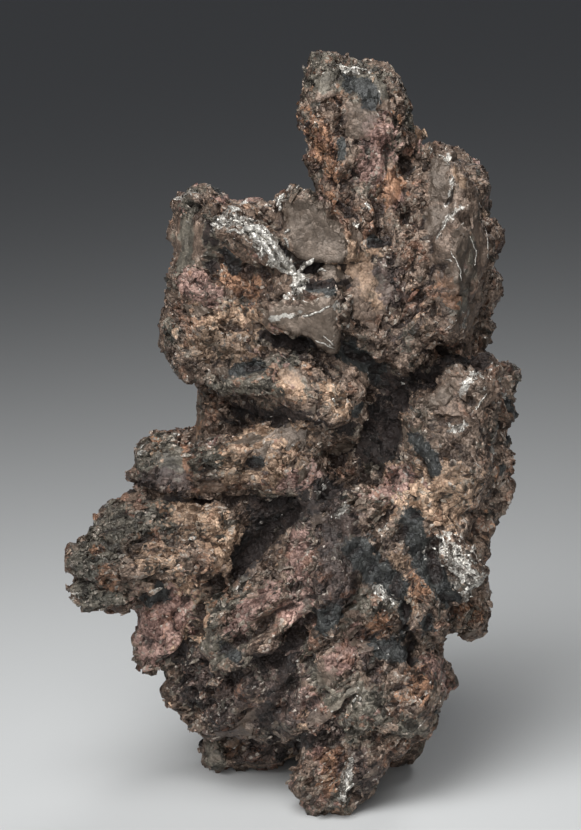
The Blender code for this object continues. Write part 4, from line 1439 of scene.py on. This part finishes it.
def add_node(tree, kind, place, **settings):
    """Adds a node, with its properties set."""
    node = tree.nodes.new(kind)
    node.location = (place[0] * 200, -place[1] * 170)
    for name, value in settings.items():
        setattr(node, name, value)
    return node


def connect(tree, value, socket):
    """Feeds a socket from another socket, or sets it to a value."""
    if isinstance(value, bpy.types.NodeSocket):
        tree.links.new(value, socket)
    elif value is not None:
        socket.default_value = value


def calculate(tree, operation, place, first, second=None, third=None, clamp=False):
    """Adds a Math node. Each input is a socket or a number."""
    node = add_node(tree, "ShaderNodeMath", place, operation=operation, use_clamp=clamp)
    for socket, value in zip(node.inputs, (first, second, third)):
        connect(tree, value, socket)
    return node.outputs[0]


def combine(tree, operation, place, first, second):
    """Adds a Vector Math node. Its output is a vector, or a number from a dot product."""
    node = add_node(tree, "ShaderNodeVectorMath", place, operation=operation)
    for socket, value in zip(node.inputs, (first, second)):
        connect(tree, value, socket)
    return node.outputs["Value" if operation == "DOT_PRODUCT" else "Vector"]


def soft_edge(tree, place, value, low, high):
    """0 below low, 1 above high."""
    node = add_node(tree, "ShaderNodeMapRange", place, interpolation_type="SMOOTHSTEP")
    connect(tree, value, node.inputs["Value"])
    node.inputs["From Min"].default_value = low
    node.inputs["From Max"].default_value = high
    return node.outputs["Result"]


def mix_colour(tree, place, share, first, second):
    """Adds a colour Mix node. Each colour is a socket or an RGBA value."""
    node = add_node(tree, "ShaderNodeMix", place, data_type="RGBA")
    for index, value in ((0, share), (6, first), (7, second)):
        connect(tree, value, node.inputs[index])
    return node.outputs[2]


def mix_value(tree, place, share, first, second):
    """Adds a Mix node for plain numbers."""
    node = add_node(tree, "ShaderNodeMix", place, data_type="FLOAT")
    for index, value in ((0, share), (2, first), (3, second)):
        connect(tree, value, node.inputs[index])
    return node.outputs[0]


def new_group(name, inputs, outputs):
    """A node group with sockets: (name, kind, default) for inputs, (name, kind) for outputs."""
    group = bpy.data.node_groups.new(name, "ShaderNodeTree")
    add_socket = group.interface.new_socket
    for label, kind, default in inputs:
        socket = add_socket(name=label, in_out="INPUT", socket_type="NodeSocket" + kind)
        socket.default_value = default
    for label, kind in outputs:
        add_socket(name=label, in_out="OUTPUT", socket_type="NodeSocket" + kind)
    entry = add_node(group, "NodeGroupInput", (0, 0))
    end = add_node(group, "NodeGroupOutput", (9, 0))
    return group, entry.outputs, end.inputs


def place_group(tree, group, place, **values):
    """Adds a group to a tree. A value is a socket or a number; a name's _ stands for a space."""
    node = add_node(tree, "ShaderNodeGroup", place, node_tree=group)
    for name, value in values.items():
        connect(tree, value, node.inputs[name.replace("_", " ")])
    return node.outputs


def textured(tree, kind, place, size, where=None, **settings):
    """A noise or Voronoi texture, in the object's own coordinates unless others are given.

    Size is in mm. In the settings, detail and roughness set the sockets of those names.
    """
    column, row = place
    where = where or add_node(tree, "ShaderNodeTexCoord", (column - 2, row)).outputs["Object"]
    sockets = {name: settings.pop(name) for name in ("detail", "roughness") if name in settings}
    node = add_node(tree, kind, place, **settings)
    for name, value in sockets.items():
        node.inputs[name.capitalize()].default_value = value
    tree.links.new(where, node.inputs["Vector"])
    scale = calculate(tree, "DIVIDE", (column - 1, row + 1), 1 / MM, size)
    tree.links.new(scale, node.inputs["Scale"])
    return node


def random_parts(tree, place, colour):
    """The three numbers of a random colour."""
    node = add_node(tree, "ShaderNodeSeparateColor", place)
    tree.links.new(colour, node.inputs[0])
    return node.outputs


def scaled(tree, place, vector, factor):
    """A vector or a colour times a number."""
    node = add_node(tree, "ShaderNodeVectorMath", place, operation="SCALE")
    tree.links.new(vector, node.inputs[0])
    tree.links.new(factor, node.inputs["Scale"])
    return node.outputs["Vector"]


def linear(code):
    """A colour written as #rrggbb, as the linear RGBA that shaders take."""
    parts = [int(code[start : start + 2], 16) / 255 for start in (1, 3, 5)]
    dark, bright = (lambda part: part / 12.92), (lambda part: ((part + 0.055) / 1.055) ** 2.4)
    return (*[dark(part) if part <= 0.04045 else bright(part) for part in parts], 1)


print("helpers ready")

# %% Angular cells
HALF = (0.5, 0.5, 0.5)
GAP_OPEN = 0.14  # where a cell's own slope is reached, as a share of a cell
cells, cell_in, cell_out = new_group(
    "crystal_grains",
    [
        ("Size", "Float", 0.8),
        ("Warp", "Float", 0.3),
        ("Slope", "Float", 1.0),
        ("Gap Depth", "Float", 0.1),
    ],
    [("Random", "Color"), ("Height", "Float")],
)
where = add_node(cells, "ShaderNodeTexCoord", (1, 3)).outputs["Object"]
warp = textured(cells, "ShaderNodeTexNoise", (3, 0), cell_in["Size"]).outputs["Color"]
warp = combine(cells, "SUBTRACT", (4, 0), warp, HALF)
warp = scaled(cells, (5, 0), warp, calculate(cells, "MULTIPLY", (4, 1), cell_in["Warp"], 2 * MM))
where = combine(cells, "ADD", (6, 0), where, warp)
cell = textured(cells, "ShaderNodeTexVoronoi", (7, 0), cell_in["Size"], where)
border = textured(
    cells, "ShaderNodeTexVoronoi", (7, 3), cell_in["Size"], where, feature="DISTANCE_TO_EDGE"
)
from_middle = combine(cells, "SUBTRACT", (8, 1), where, cell.outputs["Position"])
slope = combine(cells, "SUBTRACT", (8, 2), cell.outputs["Color"], HALF)
facet_height = combine(cells, "DOT_PRODUCT", (9, 1), from_middle, slope)
facet_height = calculate(cells, "MULTIPLY", (10, 1), facet_height, 2 / MM)
facet_height = calculate(cells, "MULTIPLY", (11, 1), facet_height, cell_in["Slope"])
inner = soft_edge(cells, (9, 3), border.outputs["Distance"], 0.0, GAP_OPEN)
height = calculate(cells, "MULTIPLY_ADD", (12, 2), inner, cell_in["Gap Depth"], facet_height)
cells.links.new(cell.outputs["Color"], cell_out["Random"])
cells.links.new(height, cell_out["Height"])
print(cells.name, "has", len(cells.nodes), "nodes")

# %% The frayed edge of a zone
fray, fray_in, fray_out = new_group(
    "frayed_zone",
    [
        ("Zone", "Float", 0.0),
        ("Grain", "Float", 0.5),
        ("Grain Fray", "Float", 0.4),
        ("Fray", "Float", 0.7),
        ("Size", "Float", 1.2),
        ("Softness", "Float", 0.06),
    ],
    [("Mask", "Float")],
)
wisps = textured(fray, "ShaderNodeTexNoise", (3, 1), fray_in["Size"], detail=5, roughness=0.65)
wisps = calculate(fray, "SUBTRACT", (4, 1), wisps.outputs["Fac"], 0.5)
level = calculate(fray, "MULTIPLY_ADD", (5, 0), wisps, fray_in["Fray"], fray_in["Zone"])
by_grain = calculate(fray, "SUBTRACT", (4, 2), fray_in["Grain"], 0.5)
level = calculate(fray, "MULTIPLY_ADD", (6, 0), by_grain, fray_in["Grain Fray"], level)
level = calculate(fray, "SUBTRACT", (7, 1), level, 0.5)
level = calculate(fray, "DIVIDE", (8, 1), level, fray_in["Softness"])
fray.links.new(calculate(fray, "ADD", (8, 2), level, 0.5, clamp=True), fray_out["Mask"])
print(fray.name, "has", len(fray.nodes), "nodes")

# %% Colour that differs from grain to grain
FINE_MOTTLE = 0.22  # mm
mottle, mottle_in, mottle_out = new_group(
    "mottle",
    [
        ("Colour", "Color", (0.2, 0.2, 0.2, 1)),
        ("Other", "Color", (0.1, 0.1, 0.1, 1)),
        ("Grain", "Float", 0.5),
        ("Size", "Float", 1.6),
        ("Contrast", "Float", 0.6),
    ],
    [("Colour", "Color")],
)
broad = textured(mottle, "ShaderNodeTexNoise", (3, 0), mottle_in["Size"], detail=6, roughness=0.75)
share = calculate(mottle, "ADD", (4, 0), broad.outputs["Fac"], mottle_in["Grain"])
share = soft_edge(mottle, (5, 0), share, 0.64, 1.36)
blend = mix_colour(mottle, (6, 0), share, mottle_in["Other"], mottle_in["Colour"])
swing = textured(mottle, "ShaderNodeTexNoise", (3, 3), FINE_MOTTLE, detail=3).outputs["Fac"]
swing = calculate(mottle, "SUBTRACT", (5, 3), swing, 0.5)
swing = calculate(mottle, "MULTIPLY", (6, 3), swing, mottle_in["Contrast"])
gain = calculate(mottle, "MULTIPLY_ADD", (7, 3), swing, 3.0, 1.0)
mottle.links.new(scaled(mottle, (8, 0), blend, gain), mottle_out["Colour"])
print(mottle.name, "has", len(mottle.nodes), "nodes")

# %% [markdown]
# ## The tarnished metal
#
# One material covers the group, because on the ore one finish passes into the next with no line
# between them. Separate materials would need a cut in the mesh at each edge. Every colour choice
# starts from one random number for each grain: the grains that stand loose bring their own, and
# the skin takes it from the cells of `crystal_grains`.

# %% A number for each grain
metal = bpy.data.materials.new("tarnished_metal")
metal.use_nodes = True
ore = metal.node_tree
shader = ore.nodes["Principled BSDF"]
shader.location = (4200, 0)
CALM_SHARE = 0.65  # how alike the grains of a plate are


def zone_value(kind, row):
    """A zone as it is."""
    node = add_node(ore, "ShaderNodeAttribute", (-3, row), attribute_name="zone_" + kind)
    return node.outputs["Fac"]


coarse = place_group(ore, cells, (-3, -6), Size=0.85, Warp=0.35, Slope=0.55, Gap_Depth=0.07)
small = place_group(ore, cells, (-3, -4), Size=0.34, Warp=0.14, Slope=0.6, Gap_Depth=0.03)
coarse_parts = random_parts(ore, (-2, -6), coarse["Random"])
small_parts = random_parts(ore, (-2, -4), small["Random"])
loose, tone = zone_value("loose", -3), zone_value("tone", -2)
grain = mix_value(ore, (-1, -5), 0.4, coarse_parts[0], small_parts[0])
grain = mix_value(ore, (0, -5), loose, grain, tone)
other_grain = mix_value(ore, (-1, -4), 0.5, coarse_parts[1], small_parts[1])
turned_tone = calculate(ore, "FRACT", (0, -3), calculate(ore, "MULTIPLY", (-1, -3), tone, 7.31))
other_grain = mix_value(ore, (0, -4), loose, other_grain, turned_tone)
alike = calculate(ore, "MULTIPLY", (0, -2), zone_value("calm", -1), CALM_SHARE)
grain = mix_value(ore, (1, -5), alike, grain, 0.5)
other_grain = mix_value(ore, (1, -4), alike, other_grain, 0.5)
print("two numbers for each grain, from", len(ore.nodes), "nodes")

# %% [markdown]
# ## Finishes laid over one another
#
# The base is brown-grey tarnish. The zones go over it one by one, each with its own two colours,
# metallic value and roughness, and with its edge frayed along the grains. The metallic value
# falls where stain or sulphide hides the metal. What lies on top comes last: painted shade in
# the deep gaps over the finishes, and rubbed silver over the painted shade.

# %% Zone finishes
BASE_COLOUR, BASE_OTHER, BASE_CONTRAST = "#907c6d", "#453830", 0.7
CALM_KINDS, CALM_CONTRAST, CONTRAST = ("plate", "blue_black"), 0.3, 0.6
COVERING_KINDS = ("plate", "blue_black", "painted_shade", "silver")  # no stain or glint shows on these
PLATE_SOFTNESS, SOFTNESS = 0.25, 0.1
# kind: (colour, second colour, metallic, roughness, fray, fray by grain, size of the fraying in mm)
FINISHES = {
    "grey": ("#7b7468", "#3e3a34", 0.35, 0.5, 0.9, 0.5, 1.6),
    "tan": ("#bfa289", "#6b5442", 0.2, 0.55, 0.9, 0.7, 1.5),
    "pink": ("#a98b80", "#644b44", 0.2, 0.55, 0.9, 0.7, 1.4),
    "copper": ("#a57e63", "#50392c", 0.25, 0.5, 0.9, 0.7, 1.1),
    "purple": ("#66564f", "#28201d", 0.3, 0.5, 1.0, 0.6, 1.8),
    "plate": ("#72655a", "#544a41", 0.45, 0.45, 0.6, 0.25, 2.0),
    "blue_black": ("#3e3f3d", "#232424", 0.25, 0.5, 0.75, 0.25, 1.2),
    # painted shade: the dark colours that stand in for shade in the deep gaps
    "painted_shade": ("#382c27", "#191412", 0.1, 0.7, 0.8, 0.5, 1.4),
    "silver": ("#d8d4cc", "#77716a", 0.65, 0.38, 0.6, 0.9, 0.6),
}


def mottled(place, colour, other, contrast):
    """Two colours, mixed grain by grain."""
    values = dict(Colour=linear(colour), Other=linear(other), Grain=grain, Contrast=contrast)
    return place_group(ore, mottle, place, **values)["Colour"]


colour = mottled((0, 0), BASE_COLOUR, BASE_OTHER, BASE_CONTRAST)
metallic, roughness, bare = 0.35, 0.5, 1.0
for step, (kind, finish) in enumerate(FINISHES.items()):
    first, second, own_metallic, own_roughness, wispiness, grain_fray, size = finish
    column = 2 * step + 3
    edge = dict(Grain=other_grain, Grain_Fray=grain_fray, Fray=wispiness, Size=size)
    edge["Softness"] = PLATE_SOFTNESS if kind == "plate" else SOFTNESS
    zone = zone_value(kind, 3 * step)
    mask = place_group(ore, fray, (column - 2, 4), Zone=zone, **edge)["Mask"]
    contrast = CALM_CONTRAST if kind in CALM_KINDS else CONTRAST
    own = mottled((column - 1, 3), first, second, contrast)
    colour = mix_colour(ore, (column, 0), mask, colour, own)
    metallic = mix_value(ore, (column, 5), mask, metallic, own_metallic)
    roughness = mix_value(ore, (column, 7), mask, roughness, own_roughness)
    if kind in COVERING_KINDS:
        uncovered = calculate(ore, "SUBTRACT", (column - 1, 9), 1.0, mask)
        bare = calculate(ore, "MULTIPLY", (column, 9), bare, uncovered)
print(len(FINISHES), "finishes, in", len(ore.nodes), "nodes so far")

# %% [markdown]
# ## Stains and glints
#
# Close up, single grains differ from their neighbours: some are rusty, some are greenish, and a
# few small faces are still bare and smoother, with a lighter colour painted on them as a glint. The
# same random numbers choose those grains. A large noise shifts the choice, so that stained grains
# come in loose patches.

# %% Stained grains, and bare faces with a painted glint
STAIN_SIZE, STAIN_SWING = 3.0, 2.4  # the patches of stained grains: their size in mm and strength
# name: (where the stain starts and is full, strength, its two colours)
STAINS = {
    "rust": (0.75, 1.05, 0.5, "#664434", "#ab8068"),
    "green": (0.25, -0.05, 0.6, "#3b3e39", "#858175"),
}
PAINTED_GLINT_COLOUR, GLINT_ROUGHNESS = "#b5a99d", 0.22

patch = textured(ore, "ShaderNodeTexNoise", (10, 2), STAIN_SIZE, detail=3).outputs["Fac"]
patch = calculate(ore, "SUBTRACT", (10, 3), patch, 0.5)
patch = calculate(ore, "MULTIPLY", (11, 2), patch, STAIN_SWING)
stained = calculate(ore, "ADD", (11, 3), other_grain, patch)
for row, (start, full, strength, first, second) in enumerate(STAINS.values()):
    share = soft_edge(ore, (12, 2 + row), stained, start, full)
    share = calculate(ore, "MULTIPLY", (13, 2 + row), share, bare)
    stain = mix_colour(ore, (14, 2 + row), grain, linear(first), linear(second))
    share = calculate(ore, "MULTIPLY", (14, 5 + row), share, strength)
    colour = mix_colour(ore, (15, row), share, colour, stain)
# painted glint: a few bare, smoother faces get a lighter colour that stands in for their glint
bright_grain = soft_edge(ore, (10, 8), grain, 0.4, 0.8)
glint = calculate(ore, "MULTIPLY", (11, 8), small_parts[2], bright_grain)
glint = calculate(ore, "MULTIPLY", (13, 8), soft_edge(ore, (12, 8), glint, 0.62, 0.85), bare)
colour = mix_colour(ore, (16, 0), glint, colour, linear(PAINTED_GLINT_COLOUR))
roughness = mix_value(ore, (16, 7), glint, roughness, GLINT_ROUGHNESS)
print(len(STAINS), "stains and one glint")

# %% [markdown]
# ## Thick tarnish, painted light and shade, and fine relief
#
# Thick tarnish and the painted light and shade darken or lighten whatever they lie on, so they
# scale the colour. Shade is painted into the hollows, the small ones at the foot of each grain and
# the deep ones between the blocks, and is laid last. A bump then adds the relief that is finer
# than the mesh: the cells' slopes and gaps, and a fine sand. Plates and sulphide stay smoother.

# %% The finished surface
# zone: (where the painted shade starts and is full, its strength, its colour); shade painted into
# hollows and creases
PAINTED_HOLLOW_SHADE = {
    "edge": (0.42, 0.1, 0.8, "#1e1614"),
    "height": (0.36, 0.02, 0.75, "#241a17"),
}
SULPHIDE_SMOOTH, SMOOTH_RELIEF = 0.6, 0.15
SAND_SIZE, SAND_HEIGHT = 0.16, 0.05  # mm

# the colour is scaled by thick and thin tarnish and by the light and shade painted with it
tarnish_and_painted_light_scale = calculate(ore, "SUBTRACT", (15, 4), 1.0, zone_value("tarnish_and_painted_light", 27))
colour = scaled(ore, (16, 4), colour, tarnish_and_painted_light_scale)
# shade painted into the small hollows and the deep ones
for row, (kind, (start, full, strength, painted_shade)) in enumerate(PAINTED_HOLLOW_SHADE.items()):
    share = soft_edge(ore, (14, 9 + row), zone_value(kind, 30 + 2 * row), start, full)
    share = calculate(ore, "MULTIPLY", (15, 9 + row), share, strength)
    colour = mix_colour(ore, (17 + row, 0), share, colour, linear(painted_shade))

sulphide = calculate(ore, "MULTIPLY", (11, 12), zone_value("blue_black", 36), SULPHIDE_SMOOTH)
smoothness = calculate(ore, "MAXIMUM", (12, 12), zone_value("calm", 34), sulphide)
relief = mix_value(ore, (13, 12), smoothness, 1.0, SMOOTH_RELIEF)
height = calculate(ore, "ADD", (13, 14), coarse["Height"], small["Height"])
height = calculate(ore, "MULTIPLY", (14, 14), height, relief)
sand = textured(ore, "ShaderNodeTexNoise", (12, 16), SAND_SIZE, detail=3).outputs["Fac"]
height = calculate(ore, "MULTIPLY_ADD", (15, 14), sand, SAND_HEIGHT, height)
bump = add_node(ore, "ShaderNodeBump", (18, 14))
bump.inputs["Strength"].default_value = 1.0
bump.inputs["Distance"].default_value = 1.0 * MM
ore.links.new(height, bump.inputs["Height"])
ore.links.new(colour, shader.inputs["Base Color"])
ore.links.new(metallic, shader.inputs["Metallic"])
ore.links.new(roughness, shader.inputs["Roughness"])
ore.links.new(bump.outputs["Normal"], shader.inputs["Normal"])
for piece in pieces:
    piece.data.materials.clear()
    piece.data.materials.append(metal)
print(metal.name, "has", len(ore.nodes), "nodes")

# %% [markdown]
# ## Table and light
#
# A pale table and large soft lights are enough: the strongest one is high on the left, one is in
# front, and one is above. A weak, narrow one behind on the right keeps the shadow on the table
# soft. The table runs far back, and the lights stay near the group, so the table darkens behind
# it.

# %% Table and lights
TABLE_SIZE = 4.0
TABLE_COLOUR, ROOM_COLOUR = (0.55, 0.56, 0.56, 1), (0.055, 0.057, 0.062, 1)
bpy.ops.mesh.primitive_plane_add(size=TABLE_SIZE, location=(0, 0, low[2]))
table = bpy.context.object
table.name = "table"
table_finish = bpy.data.materials.new("pale_table")
table_finish.use_nodes = True
table_shader = table_finish.node_tree.nodes["Principled BSDF"]
table_shader.inputs["Base Color"].default_value = TABLE_COLOUR
table_shader.inputs["Roughness"].default_value = 0.5
table.data.materials.append(table_finish)

# name: (place, size in m, watts, beam in degrees)
LIGHTS = {
    "key_light": ((-0.13, -0.22, 0.25), 0.24, 0.182, 60),
    "front_light": ((0.01, -0.36, 0.14), 0.25, 0.104, 60),
    "top_light": ((-0.03, -0.12, 0.27), 0.18, 0.08, 57),
    "back_light": ((0.1, 0.2, 0.2), 0.12, 0.01, 24),
}
AIM = Vector((0, 0, 0.035))
for name, (place, size, watts, beam) in LIGHTS.items():
    data = bpy.data.lights.new(name, "AREA")
    data.size = size
    data.energy = watts
    data.spread = math.radians(beam)
    light = bpy.data.objects.new(name, data)
    light.location = place
    light.rotation_euler = (AIM - Vector(place)).to_track_quat("-Z", "Y").to_euler()
    bpy.context.scene.collection.objects.link(light)
world = bpy.data.worlds.new("studio")
world.use_nodes = True
world.node_tree.nodes["Background"].inputs["Color"].default_value = ROOM_COLOUR
bpy.context.scene.world = world
bpy.context.scene.view_settings.view_transform = "Standard"
print("lit by", len(LIGHTS), "lights")
